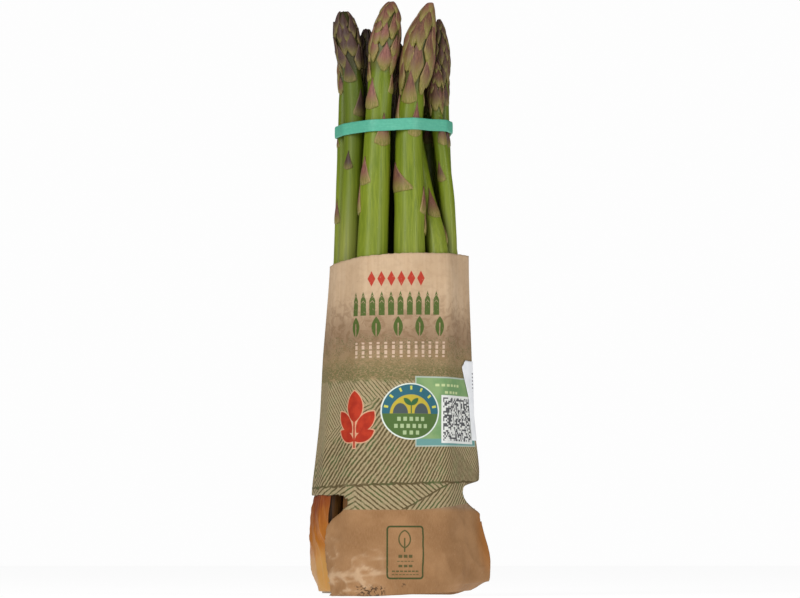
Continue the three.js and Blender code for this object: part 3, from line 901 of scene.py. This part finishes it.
def sleeve_points():
    """The sheet's points by row and column, floor first, with their u, v and crest marks."""
    way, share = sleeve_columns()
    side, cols = np.minimum(way, 1), len(way)
    x_low = SLEEVE.point(side, share, np.full(cols, 3.0))[:, 0]
    fold = np.interp(x_low, *FOLD_LINE)
    back_share = np.where(way == 2, 1 - share, share)
    fold = np.where(way == 0, fold, 0.45 + (fold - 0.45) * (1 - smooth_step(back_share, 0, 0.22)))
    x_top = SLEEVE.point(side, share, np.full(cols, 142.0))[:, 0]
    top = np.interp(x_top, *TOP_LINE) + torn(x_top + 3 * way, 3.0, 0.25)
    t = np.linspace(0, 1, SHEET_ROWS)[:, None]
    z = fold[None, :] + t * (top - fold)[None, :]
    ways, shares = np.broadcast_to(way, z.shape), np.broadcast_to(share, z.shape)
    p = SLEEVE.point(np.minimum(ways, 1), shares, z)
    u = SLEEVE.unrolled(ways, shares, z)
    # The relief fades out at the two folded edges and the hem; the lap lies over the other end of the sheet.
    flat = np.minimum(np.abs(shares), np.abs(1 - shares))
    from_edge = np.where(ways == 0, flat, np.where(ways == 1, shares, 1 - shares))
    relief = paper_relief(u, z) * smooth_step(from_edge, 0, 0.06)
    above = z - fold[None, :]
    tuck = -0.3 * np.clip(1 - above / 1.6, 0, 1) ** 2
    lap = np.where(ways == 2, smooth_step(0.5 + 0.004 - shares, -0.01, 0.0) * 0.4, 0)
    relief = relief * (0.4 + 0.6 * smooth_step(above, 0, 5)) + 0.25 * smooth_step(above, 7, 0)
    # The crest mark: where the material paints a highlight on the crease ridges.
    crest = np.clip(creases(u, z) / 0.85, 0, 1) ** 3
    p[..., :2] += outward(p) * (relief + tuck + lap)[..., None]
    # The floor: rings that close in under the butts, by their share of the way to the middle.
    q = np.array(FLOOR_RINGS)[:, None]
    reach = 0.03 + 0.19 * smooth_step(x_low, 20, 36)
    drop = smooth_step(q / reach[None, :], 0, 1)
    floor_xy = p[0, None, :, :2] * (1 - q[..., None]) + np.array(FLOOR_MIDDLE) * q[..., None]
    level = 0.4 + np.maximum(floor_xy[..., 0] + 10, 0) * FLOOR_SLOPE
    floor_z = level + np.maximum(fold[None, :] - level, 0) * (1 - drop)
    floor_z = floor_z + 0.15 * rough(floor_xy[..., 0] / 6, floor_xy[..., 1] / 6, 3.0) * drop
    floor = np.concatenate([floor_xy, np.maximum(floor_z, 0.32)[..., None]], -1)[::-1]
    floor_u = np.broadcast_to(u[0], floor_z.shape)
    floor_v = fold[None, :] - q[::-1] * 38
    rows = ((floor, p), (floor_u, u), (floor_v, z), (0 * floor_v, crest))
    return [np.concatenate(pair) for pair in rows]


def solid_sheet(piece, thickness):
    """Gives a sheet its thickness, on its inner side."""
    made = piece.modifiers.new("thickness", "SOLIDIFY")
    made.thickness, made.offset = thickness * MM, -1.0
    made.use_even_offset = False
    return piece


def grow_sleeve(material):
    points, us, vs, crests = sleeve_points()
    faces = grid_faces(*us.shape)
    flat, faces, used = trim(points.reshape(-1, 3), faces, notch_outlines(), 0.42)
    marks = {"u": us.ravel()[used], "v": vs.ravel()[used], "crest": crests.ravel()[used]}
    piece = make_piece("paper_sleeve_folded", flat, faces.tolist(), material, marks)
    solid_sheet(piece, 0.28)
    return place(piece, "paper_sleeve", "kraft_paper")


WRAP_EDGE = ([0, 20, 26, 34, 46], [-26.0, -26.5, -29.6, -30.2, -28.6])  # heights, and x of its free left end
WRAP_LONG, WRAP_COLUMNS = 150, 220


def grow_wrap(material):
    """Moist paper round the butts, with its front open behind the sleeve."""
    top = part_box("butt_wrap")[1].z / MM
    heights = np.append(np.arange(1.3, top - 0.5, 1.0), top)
    rings = []
    for z in heights:
        ring = outline(discs_at(z, 0.4), 720)
        half = len(ring) // 2
        back, front = (evenly(side, np.linspace(0, 1, 700))[0] for side in (ring[:half], ring[half:]))
        right_start = np.searchsorted(front[:, 0], 8.0)
        left_end = np.searchsorted(front[:, 0], np.interp(z, *WRAP_EDGE))
        chain = np.concatenate([front[right_start:], back, front[: max(left_end, 2)]])
        rings.append(evenly(chain, np.linspace(0, 1, WRAP_COLUMNS))[0])
    xy = blurred(np.stack([blurred(r, 2.5) for r in rings]), 1.6)
    z = np.broadcast_to(heights[:, None], xy.shape[:2]).copy()
    hem = (np.interp(xy[0, :, 0], *FOLD_LINE) + 1.6)[None, :]
    z = np.maximum(z, hem + 0.002 * z)
    u = np.broadcast_to(np.linspace(0, WRAP_LONG, WRAP_COLUMNS)[None, :], z.shape)
    # Folds are strongest in the part that shows, and fade at the hem and under the sleeve.
    folds = 0.3 * rough(u / 4.5, z / 30, 3.0) + 0.16 * rough(u / 2, z / 6, 6.0)
    folds = (folds + 0.75 * ridge(u / 5.5 + z / 26, z / 44, 13.0, 3.0)) * smooth_step(z - hem, 0, 9)
    folds = folds * smooth_step(z, 50, 40) * (0.35 + 0.65 * smooth_step(-xy[..., 0], 25, 29))
    bulge = 0.9 * smooth_step(-xy[..., 0], 31, 36) * smooth_step(z, 10, 20) * smooth_step(z, 44, 34)
    xy = xy + outward(xy) * (folds * 0.8 + bulge)[..., None]
    z[-1] += torn(u[-1], 2.0, 0.5)
    points = np.concatenate([xy, z[..., None]], -1).reshape(-1, 3)
    marks = {"u": u.ravel(), "v": z.ravel()}
    piece = make_piece("butt_wrap_moist", points, grid_faces(*z.shape).tolist(), material, marks)
    solid_sheet(piece, 0.25)
    return place(piece, "butt_wrap", "moist_paper")


def grow_label(material):
    """The price label, folded round the right-hand crease just outside the sleeve."""
    low_z, high_z = (corner.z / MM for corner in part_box("price_label"))
    left_edge = ([low_z, low_z + 18, high_z - 3, high_z], [29.6, 28.0, 25.4, 26.6])
    rows, cols, back_mm = 60, 50, 13.0
    z = np.linspace(low_z, high_z, rows)
    points, us = [], []
    for height in z:
        line = SLEEVE.at(SLEEVE.front, SLEEVE.SHARES, np.full(201, height))[:, 0]
        share = np.interp(np.interp(height, *left_edge), line, SLEEVE.SHARES)
        wide = np.interp(height, SLEEVE.heights, SLEEVE.wide)
        deep = np.interp(height, SLEEVE.heights, SLEEVE.deep)
        run = np.linspace((share - 1) * wide, back_mm, cols)
        way = (run > 0).astype(int)
        at = np.where(way == 0, 1 + run / wide, run / deep)
        points.append(SLEEVE.point(way, at, np.full(cols, height)))
        us.append(run)
    p, u = np.array(points), np.array(us)
    v = np.broadcast_to(z[:, None], u.shape)
    right = SLEEVE.unrolled(np.zeros(u.shape), np.ones(u.shape), v)
    relief = paper_relief(u + right, v) * smooth_step(np.abs(u) / 6, 0, 1)
    p[..., :2] += outward(p) * (relief + 0.42)[..., None]
    marks = {"u": u.ravel(), "v": v.ravel()}
    faces = grid_faces(rows, cols).tolist()
    piece = make_piece("price_label_stuck", p.reshape(-1, 3), faces, material, marks)
    solid_sheet(piece, 0.18)
    return place(piece, "price_label", "label_paper")


# ---------------------------------------------------------------- printed kraft paper

# The artwork's numbers are for a slightly larger sheet, and are shrunk about this height.
ART_SCALE, ART_LEVEL = 0.979, 17.5


class Print:
    """Flat artwork on the sleeve, drawn with arithmetic on the distances across (u) and up (v) the paper."""

    def __init__(self, look):
        self.look = look
        self.u = look.mark("u") / ART_SCALE
        self.v = (look.mark("v") - ART_LEVEL) / ART_SCALE + ART_LEVEL
        self.wide = (self.u + 52.5).math("PINGPONG", 105.0) - 52.5

    def noise(self, scale_u, scale_v, seed=0.0, *settings):
        return self.look.noise((self.u * scale_u, self.v * scale_v, seed), *settings)

    def fuzz(self, scale, size, seed=0.0):
        """Small random offsets that make edges look inked."""
        grain = self.look.noise((self.u * scale + seed, self.v * scale, seed), 2.0)
        return (grain - 0.5) * size

    def strip(self, value, low, high, soft=0.14):
        return value.ramp(low - soft, low + soft) * value.ramp(high + soft, high - soft)

    def box(self, left, right, low, high, soft=0.14):
        return self.strip(self.u, left, right, soft) * self.strip(self.v, low, high, soft)

    def from_point(self, u, v, stretch=1.0):
        du, dv = self.u - u, (self.v - v) / stretch
        return (du * du + dv * dv).math("SQRT")

    def disc(self, u, v, radius, stretch=1.0, soft=0.15):
        return self.from_point(u, v, stretch).ramp(radius + soft, radius - soft)

    def leaf(self, u, v, length, width, turn, grow=0.0):
        """A pointed leaf round (u, v): where two discs overlap. Turn is from upright, in degrees."""
        half, side = length / 2, width / 2
        radius = (half * half + side * side) / (2 * side)
        reach, turn = radius - side, math.radians(turn)
        du, dv = reach * math.cos(turn), reach * math.sin(turn)
        return self.disc(u + du, v + dv, radius + grow) * self.disc(u - du, v - dv, radius + grow)

    def lines(self, value, pitch, share, soft=0.12):
        """Parallel lines where value crosses multiples of pitch; share is how much of the pitch they fill."""
        wave = abs((value / pitch).part() - 0.5) * 2
        return wave.ramp(share + soft, share - soft)

    def repeat(self, start, pitch, count):
        """Distance from the nearest of count centres that begin at start."""
        step = ((self.u - start) / pitch + 0.5).floor().most(0.0).least(count - 1.0)
        return self.u - start - step * pitch

    def bars(self, start, v, pitch, count, half_u, half_v):
        """A level row of bars. Each half size is given as where its soft edge ends and begins."""
        return abs(self.repeat(start, pitch, count)).ramp(*half_u) * abs(self.v - v).ramp(*half_v)


def along(x, z):
    """The artwork's u at a place on the front, given by its x and height."""
    return SLEEVE.across(x * ART_SCALE, (z - ART_LEVEL) * ART_SCALE + ART_LEVEL) / ART_SCALE


def hatching(art):
    """Drawn furrows: fine arcs at the upper left, long slanted lines, and below them lines both ways."""
    v, wide, mix = art.v, art.wide, art.look.mix
    wobble = art.fuzz(0.35, 1.0) + art.fuzz(1.6, 0.5, 5.0)
    lean = wide * 1.5 + wide * wide * 0.0085 + wide * wide * wide * 0.00003
    steep = art.lines(lean - v + wobble * 1.5, 2.65, 0.5)
    fine = art.lines(v - wide * 0.28 + wide * wide * 0.008 + wobble, 1.7, 0.34)
    cross = art.lines(wide * 1.15 + v + wobble, 2.1, 0.3)
    upper_left = (v - 67.0 - (wide + 30) * 0.45 + wobble).ramp(-0.3, 0.3) * wide.ramp(-11, -14)
    upper_mid = (v - 84.0 + abs(wide + 10) * 0.55 + wobble).ramp(-0.3, 0.3)
    field = mix(upper_mid, mix(upper_left, steep, fine), cross)
    # Below the long level line furrows fall, or rise right of the branch, or run flatter at the left.
    level = v - 47.4 - (wide * 0.022).math("SINE") * 1.6 + art.fuzz(0.3, 2.2, 2.0)
    branch = v - 36.4 - (wide - 0.6) * 0.52 + art.fuzz(0.3, 0.6, 3.0)
    falling = art.lines(v + wide * 0.78 + wobble * 0.8, 2.15, 0.4)
    rising = art.lines(wide * 1.2 - v + wobble, 2.5, 0.4)
    low_left = art.lines(v - wide * 0.5 + wobble, 2.3, 0.34)
    low = mix(wide.ramp(-18, -21), mix(branch.ramp(0.15, -0.15), falling, rising), low_left)
    below = level.ramp(0.2, -0.2)
    edges = abs(level).ramp(0.62, 0.35).most(abs(branch).ramp(0.5, 0.3) * below)
    ink = Sock(art.look.tree, mix(below, field, low)).most(edges)
    return ink * (art.noise(0.35, 0.35, 7.0).ramp(0.22, 0.5) * 0.45 + 0.55)


def scribble(art):
    """Loose drawn trees and hedges: thin curling lines, thick in the lowest strip."""
    field = art.noise(0.36, 0.62, 3.0, 2.0, 0.6, 0.6)
    curls = abs((field * 7.0).part() - 0.5).ramp(0.2, 0.08)
    patches = art.noise(0.12, 0.2, 9.0, 2.0).ramp(0.38, 0.52)
    low = art.v.ramp(101.5, 95.0)
    height = art.v + art.fuzz(0.22, 9.0, 1.0)
    zone = height.ramp(90.2, 91.5) * height.ramp(111.5, 108.0)
    dense = art.noise(0.9, 1.3, 5.0, 3.0, 0.7).ramp(0.44, 0.56)
    return zone * (curls * (patches * 0.75).most(low)).most(dense * low * 0.85)


def bare_kraft(art):
    """The paper without its print: streaked and smudged above, browner and crumpled below the fields, with a
    painted highlight on the crease ridges.
    """
    look, v = art.look, art.v
    streak = art.noise(0.55, 0.035, 0.0, 4.0, 0.55)
    fibre = art.noise(2.6, 0.55, 0.0, 4.0, 0.65)
    cloud = art.noise(0.06, 0.06)
    specks = art.noise(1.8, 1.4, 2.0, 2.0, 0.7)
    smudge = art.noise(0.28, 0.34, 5.0, 4.0, 0.6, 0.8)
    lower = look.layers(
        look.mix(cloud.ramp(0.35, 0.65), srgb(138, 100, 63), srgb(162, 122, 83)),
        (fibre.ramp(0.35, 0.75) * 0.4, srgb(172, 134, 96)),
        (specks.ramp(0.4, 0.6) * 0.25, srgb(150, 112, 76)),
        # Painted highlight along the crease ridges.
        (look.mark("crest") * 0.5, srgb(214, 184, 150)),
    )
    paper = look.layers(
        look.mix(streak.ramp(0.2, 0.85), srgb(188, 159, 127), srgb(202, 176, 146)),
        ((fibre - 0.35) * 1.1, srgb(194, 168, 138)),
        (cloud.ramp(0.3, 0.7) * 0.35, srgb(178, 146, 112)),
        ((v + art.fuzz(0.15, 14.0, 2.5)).ramp(131, 106) * 0.85, srgb(134, 108, 82)),
        (smudge.ramp(0.46, 0.62) * (v.ramp(134, 110) * 0.5 + 0.1), srgb(126, 98, 70)),
        (v.ramp(38.0, 35.4), lower),
        (specks.ramp(0.66, 0.74) * 0.35, srgb(120, 90, 62)),
        (specks.ramp(0.33, 0.26) * 0.3, srgb(214, 192, 160)),
    )
    look.bump(fibre * 0.5 + streak * 0.35 + specks * 0.25, 0.1, 0.7)
    return paper, fibre


def fields(art, paper, fibre):
    """The drawn fields, the haze above them and the scribbled trees."""
    look, v = art.look, art.v
    foot = v - 36.4 - (art.wide - 8).most(0.0) * 0.1 + art.fuzz(0.5, 0.6, 4.0)
    inner = foot.ramp(-0.15, 0.15) * (v + art.fuzz(0.3, 3.0, 6.0)).ramp(92.5, 90.5)
    ground = look.mix(fibre.ramp(0.3, 0.7), srgb(154, 140, 102), srgb(178, 166, 130))
    ink = look.mix(art.noise(0.2, 0.2, 4.0, 2.0).ramp(0.45, 0.65), srgb(76, 62, 34), srgb(66, 80, 40))
    haze = v.ramp(90.0, 92.0) * (v + art.fuzz(0.2, 8.0, 8.0)).ramp(110.0, 98.0)
    return look.layers(
        paper,
        (inner * 0.7, ground),
        (hatching(art) * inner * 0.9, ink),
        (haze * 0.3, srgb(164, 144, 96)),
        (scribble(art) * 0.8, srgb(84, 92, 50)),
    )


def wear(art, paper, fibre):
    """Damp at the right crease and its foot, small tears at the bottom fold, and a folded nick."""
    u, v = art.u, art.v
    rim = art.disc(along(37.5, 24), 24.0, 6.5, 1.9, 4.5) * (fibre * 0.5 + 0.6)
    spot = art.noise(0.7, 1.1, 11.0, 3.0, 0.6)
    torn_low = art.box(along(-19, 5), along(-7, 5), 0.5, 4.4, 0.9)
    torn_low = torn_low.most(art.disc(along(1.0, 5), 4.6, 0.9, 1.0, 0.5))
    nick = u - along(33.8, 57) - (v - 57) * -0.09 + art.fuzz(0.4, 1.6, 3.0)
    nick = abs(nick).ramp(0.55, 0.2) * art.strip(v, 50.5, 63.5, 1.0)
    return art.look.layers(
        paper,
        (rim * 0.8, srgb(168, 104, 40)),
        (art.disc(along(36, 46), 55.0, 3.2, 2.6, 1.6) * 0.45, srgb(92, 78, 58)),
        (torn_low * spot.ramp(0.5, 0.56) * 0.85, srgb(58, 42, 30)),
        (nick * 0.6, srgb(88, 72, 56)),
    )


def kraft_look():
    look = Look("printed_kraft", roughness=0.66, Specular_IOR_Level=0.16)
    art = Print(look)
    paper, fibre = bare_kraft(art)
    paper = fields(art, paper, fibre)
    for draw in (red_marks, title_rows, red_leaf, green_panel, badge, frame_mark, back_marks):
        paper = draw(art, paper)
    look.colour(wear(art, paper, fibre))
    return look.material


RED, GREEN_INK, PALE_INK = srgb(172, 42, 28), srgb(68, 90, 34), srgb(214, 186, 164)


def worn(art, mask, scale=1.3):
    """Ink that has not covered every fibre."""
    return mask * (art.noise(scale, scale * 0.6, 6.0, 3.0, 0.6).ramp(0.28, 0.42) * 0.5 + 0.5)


def red_marks(art, paper):
    """A plain row of red lozenges."""
    tilt = art.v - art.u * 0.018
    across = art.repeat(along(-12.6, 135), 4.25, 6)
    size = abs(across) / 1.75 + abs(tilt - 134.6) / 3.3
    return art.look.mix(worn(art, size.ramp(1.04, 0.94)) * 0.95, paper, RED)


def title_rows(art, paper):
    """A frieze of spear shapes, a row of wide-set leaves, and a pale row of short bars."""
    tilt = art.v - art.u * 0.02
    across = abs(art.repeat(along(-19.3, 124), 4.0, 10))
    height = (tilt - 119.0) / 10.2
    body = 1.28 - (height - 0.62).most(0.0) * 3.3
    spear = (across - body + art.fuzz(1.2, 0.25)).ramp(0.1, -0.1) * art.strip(height, 0.0, 1.0, 0.015)
    notch = abs(((tilt + across * 1.2) / 2.3).part() - 0.5).ramp(0.1, 0.04) * height.ramp(0.5, 0.54)
    across = abs(art.repeat(along(-19.2, 115), 9.35, 5))
    height = abs(tilt - 114.0) / 4.5
    leaf = (across / 2.0 + height * height).ramp(1.05, 0.95)
    vein = across.ramp(0.34, 0.22) * (tilt - 115.6).ramp(0.3, -0.3)
    across = abs(art.repeat(along(-19.0, 104), 3.25, 13))
    bar = across.ramp(0.72, 0.5) * (abs(tilt - 104.3) / 3.3).ramp(1.03, 0.97)
    dash = abs(((tilt - 101.0) / 2.2).part() - 0.5).ramp(0.1, 0.16)
    return art.look.layers(
        paper,
        (worn(art, spear * (1 - notch * 0.8)) * 0.95, GREEN_INK),
        (worn(art, leaf * (1 - vein)) * 0.95, GREEN_INK),
        (worn(art, bar * dash) * 0.72, PALE_INK),
    )


def red_leaf(art, paper):
    """A plain red sprig: five separate leaves on a stalk, with a pale outline."""
    u, v = along(-19.8, 74), 63.0
    pairs = ((4.9, 40, 10.4, 12.0, 6.0), (4.4, 62, 4.6, 9.6, 4.6))  # side, turn, rise, length, width

    def shape(grow):
        mask = art.box(u - 0.4 - grow, u + 0.4 + grow, v - 0.5 - grow, v + 12)
        mask = mask.most(art.leaf(u, v + 17.0, 13.5, 7.6, 0, grow))
        for side, turn, rise, length, width in pairs:
            for way in (1, -1):
                mask = mask.most(art.leaf(u + way * side, v + rise, length, width, -way * turn, grow))
        return mask

    red = art.look.mix(art.noise(0.25, 0.25, 2.0).ramp(0.35, 0.65), srgb(178, 54, 30), srgb(158, 42, 24))
    return art.look.layers(paper, (shape(0.45) * 0.85, srgb(214, 160, 128)), (shape(0.0), red))


def green_panel(art, paper):
    """A green panel with plain bars, and a square of random dark cells on white."""
    look, left, right = art.look, along(6.5, 78), along(30.9, 78)
    low = art.v - (63.4 + art.u * 0.02)
    inner = art.strip(art.u, left, right) * low.ramp(-0.14, 0.14) * art.v.ramp(92.6, 92.2)
    rim = art.strip(art.u, left - 0.5, right + 0.5) * low.ramp(-0.64, -0.36) * art.v.ramp(93.2, 92.8)
    sweep = art.from_point(along(34, 60), 52.0)
    green = look.layers(
        look.mix(art.noise(0.12, 0.12, 1.0).ramp(0.35, 0.65), srgb(112, 148, 98), srgb(134, 162, 110)),
        (low.ramp(3.2, 2.4), srgb(104, 150, 146)),
        (art.strip(sweep, 20.5, 22.5, 0.6) * 0.6, srgb(120, 164, 146)),
    )
    paper = look.layers(paper, (rim * 0.9, srgb(176, 190, 178)), (inner, green))
    for height, start, count in ((89.4, 15.5, 6), (86.4, 19.4, 4)):
        bars = art.bars(along(start, height), height, 2.9, count, (1.05, 0.85), (0.62, 0.45))
        paper = look.mix(bars * 0.75, paper, srgb(206, 216, 160))
    left, right, cell = along(17.9, 75), along(29.6, 75), 0.74
    page = art.box(left - 0.9, right + 0.9, 64.8, 85.2)
    cells = look.chance(((art.u / cell).floor() + 3.0, (art.v / cell).floor())).ramp(0.49, 0.5)
    cells = art.box(left, right, 65.8, 84.2, 0.05) * cells
    return look.layers(paper, (page * 0.95, srgb(226, 226, 222)), (cells * 0.9, srgb(34, 34, 44)))


def badge(art, paper):
    """A round badge: sky, a low sun with rays, a seedling and a green field with plain bars."""
    u, v, radius = along(4.3, 78), 78.0, 13.1
    out = art.from_point(u, v, 0.92)
    inner = out.ramp(radius - 0.5, radius - 0.8)
    above = (art.v - v + 0.9).ramp(-0.12, 0.12)
    turn = (art.u - u).math("ARCTAN2", art.v - v)
    rays = abs((turn / 0.46 + 0.5).part() - 0.5).ramp(0.12, 0.07) * art.strip(out, 10.0, 11.8)
    seedling = art.leaf(u + 1.5, v + 4.1, 4.6, 2.2, -48).most(art.leaf(u - 1.5, v + 4.1, 4.6, 2.2, 48))
    seedling = seedling.most(art.box(u - 0.25, u + 0.25, v - 0.8, v + 3.4))
    mounds = art.disc(u - 4.6, v - 1.0, 3.2, 1.4).most(art.disc(u + 4.6, v - 1.0, 3.2, 1.4))
    paper = art.look.layers(
        paper,
        (out.ramp(radius + 0.1, radius - 0.2), srgb(214, 222, 214)),
        (inner, srgb(78, 104, 54)),
        (inner * above, srgb(48, 98, 112)),
        (rays * above, srgb(196, 196, 84)),
        (art.disc(u, v - 1.2, 9.1, 0.92) * above, srgb(182, 164, 58)),
        (seedling * above, srgb(56, 98, 60)),
        (mounds * above * 0.9, srgb(40, 66, 86)),
    )
    for height, count, pitch in ((-3.2, 5, 2.6), (-6.2, 6, 2.6), (-9.0, 3, 2.8)):
        start = u - pitch * (count - 1) / 2
        bars = art.bars(start, v + height, pitch, count, (0.85, 0.65), (0.95, 0.75))
        paper = art.look.mix(bars * 0.7, paper, srgb(188, 206, 158))
    return paper


def frame_mark(art, paper):
    """A plain rounded frame with an outlined leaf and short bars."""
    left, right, low, high, corner = along(-5.9, 18), along(9.2, 18), 7.4, 29.4, 1.4
    middle, ink = (left + right) / 2, srgb(54, 68, 34)
    du = (abs(art.u - middle) - (right - left) / 2 + corner).most(0.0)
    dv = (abs(art.v - (low + high) / 2) - (high - low) / 2 + corner).most(0.0)
    frame_line = abs((du * du + dv * dv).math("SQRT") - 1.3).ramp(0.45, 0.3)
    leaf = (middle - 0.4, 24.0, 8.0, 5.4, 0)
    line = (art.leaf(*leaf) - art.leaf(*leaf, -0.6)).most(art.box(middle - 0.7, middle - 0.1, 18.6, 24.5))
    paper = art.look.layers(paper, (worn(art, frame_line) * 0.95, ink), (worn(art, line) * 0.85, ink))
    # Each row of bars: its height, how tall it is, its pitch and how many it has.
    rows = (
        (16.8, 1.1, 2.2, 3),
        (14.7, 0.3, 1.5, 5),
        (12.7, 0.9, 2.2, 3),
        (10.5, 0.5, 1.7, 7),
        (9.1, 0.3, 1.5, 8),
    )
    for height, tall, pitch, count in rows:
        half_u, half_v = (pitch * 0.42, pitch * 0.32), (tall * 0.6 + 0.1, tall * 0.6 - 0.1)
        bars = art.bars(middle - pitch * (count - 1) / 2, height, pitch, count, half_u, half_v)
        paper = art.look.mix(worn(art, bars, 2.0) * 0.8, paper, ink)
    return paper


def back_marks(art, paper):
    """On the back, rows of plain green bars above the drawn fields."""
    wide = abs(abs(art.u) - 78)
    for height, tall in ((130.0, 0.7), (126.5, 0.4), (124.0, 0.4), (121.5, 0.4)):
        dashes = abs((art.u / 3.4 + height).part() - 0.5).ramp(0.44, 0.4)
        row = abs(art.v - height).ramp(tall + 0.12, tall - 0.12) * wide.ramp(18, 17.6) * dashes
        paper = art.look.mix(worn(art, row) * 0.85, paper, GREEN_INK)
    return paper


def moist_look():
    look = Look("moist_paper", roughness=0.45, Specular_IOR_Level=0.35)
    u, v = look.mark("u"), look.mark("v")
    fibre = look.noise((u * 0.8, v * 0.1), 4.0, 0.6)
    cloud = look.noise((u * 0.09, v * 0.06, 2.0))
    fine = look.noise((u * 2.0, v * 1.2), 3.0, 0.7)
    rise = v + (cloud - 0.5) * 26
    colour = look.layers(
        look.mix(rise.ramp(8, 26), srgb(188, 138, 70), srgb(166, 98, 22)),
        (rise.ramp(24, 44), srgb(122, 50, 10)),
        (fibre.ramp(0.45, 0.75) * 0.45, srgb(206, 132, 50)),
        (fine.ramp(0.66, 0.74) * 0.4, srgb(226, 184, 124)),
    )
    look.colour(colour)
    look.bump(fibre * 0.7 + fine * 0.3, 0.25, 0.7)
    return look.material


def label_look():
    look = Look("label_paper", roughness=0.45, Specular_IOR_Level=0.4)
    u, v = look.mark("u"), look.mark("v")
    grain = look.noise((u * 2, v * 2))
    cloud = look.noise((u * 0.15, v * 0.15), 2.0)
    ticks = u.ramp(-1.6, -1.4) * u.ramp(-0.2, -0.4) * abs((v / 1.5).part() - 0.5).ramp(0.24, 0.16)
    ticks = ticks * v.ramp(86, 87) * v.ramp(95, 94)
    bars = look.chance(((v / 0.5).floor(), 2.0)).ramp(0.5, 0.51)
    bars = bars * u.ramp(3.0, 3.1) * u.ramp(9.1, 9.0) * v.ramp(70, 70.2) * v.ramp(92, 91.8)
    colour = look.layers(
        look.mix(grain, srgb(238, 240, 243), srgb(246, 247, 249)),
        (cloud.ramp(0.4, 0.7) * 0.3, srgb(206, 210, 216)),
        (ticks.most(bars) * 0.8, srgb(70, 72, 82)),
    )
    look.colour(colour)
    look.bump(grain, 0.04, 0.5)
    return look.material


# ---------------------------------------------------------------- stage, light and camera


def plain_stage():
    """A plain pale floor that glows a little, so that it stays white in the shade."""
    half = 4000
    look = Look("stage_white", roughness=1.0, Specular_IOR_Level=0.0)
    x, y, z = look.places()
    grain = look.noise((x * 0.01, y * 0.01, z * 0.01), 2.0)
    look.colour(look.mix(grain, srgb(90, 90, 90), srgb(94, 94, 94)))
    look.shader.inputs["Emission Color"].default_value = (1, 1, 1, 1)
    look.shader.inputs["Emission Strength"].default_value = 0.95
    corners = [(-half, -half, 0), (half, -half, 0), (half, half, 0), (-half, half, 0)]
    make_piece("stage_floor", corners, [(0, 1, 2, 3)], look.material)


def soft_box(name, place, aim, size, power):
    data = bpy.data.lights.new(name, "AREA")
    data.shape, data.size, data.size_y, data.energy = "RECTANGLE", size[0], size[1], power
    light = bpy.data.objects.new(name, data)
    light.location = place
    light.rotation_euler = (Vector(aim) - Vector(place)).to_track_quat("-Z", "Y").to_euler()
    bpy.context.scene.collection.objects.link(light)


def light_up():
    """White behind the object, little light from all round, and three soft boxes."""
    world = bpy.data.worlds.new("studio")
    bpy.context.scene.world = world
    world.use_nodes = True
    tree = world.node_tree
    sky = tree.nodes["Background"]
    sky.inputs["Color"].default_value = (1, 1, 1, 1)
    ray = tree.nodes.new("ShaderNodeLightPath")
    level = tree.nodes.new("ShaderNodeMapRange")
    level.inputs["To Min"].default_value, level.inputs["To Max"].default_value = 0.08, 0.985
    tree.links.new(ray.outputs["Is Camera Ray"], level.inputs["Value"])
    tree.links.new(level.outputs[0], sky.inputs["Strength"])
    middle = (0, 0, 0.13)
    soft_box("key", (-0.75, -1.0, 0.75), middle, (0.6, 0.9), 12)
    soft_box("fill", (0.95, -0.9, 0.3), middle, (0.5, 1.0), 8.0)
    soft_box("front", (0.05, -1.5, 0.55), middle, (0.9, 0.7), 2.5)


def set_camera():
    """The photograph's view: from low in front and a little upwards, through a long lens."""
    data = bpy.data.cameras.new("camera")
    data.sensor_width, data.lens = 36.0, 154.43
    data.clip_start, data.clip_end = 0.05, 30.0
    camera = bpy.data.objects.new("camera", data)
    eye, aim = Vector((-0.00043, -1.45, 0.0175)), Vector((-0.00043, 0, 0.1255))
    camera.location = eye
    camera.rotation_euler = (aim - eye).to_track_quat("-Z", "Y").to_euler()
    bpy.context.scene.collection.objects.link(camera)
    bpy.context.scene.camera = camera


# ---------------------------------------------------------------- everything


def build():
    bpy.context.scene.view_settings.view_transform = "Standard"
    set_camera()
    plain_stage()
    light_up()
    green = asparagus_look()
    for i in range(len(SPEARS)):
        grow_spear(i, green)
    grow_band(rubber_look())
    grow_sleeve(kraft_look())
    grow_wrap(moist_look())
    grow_label(label_look())


build()
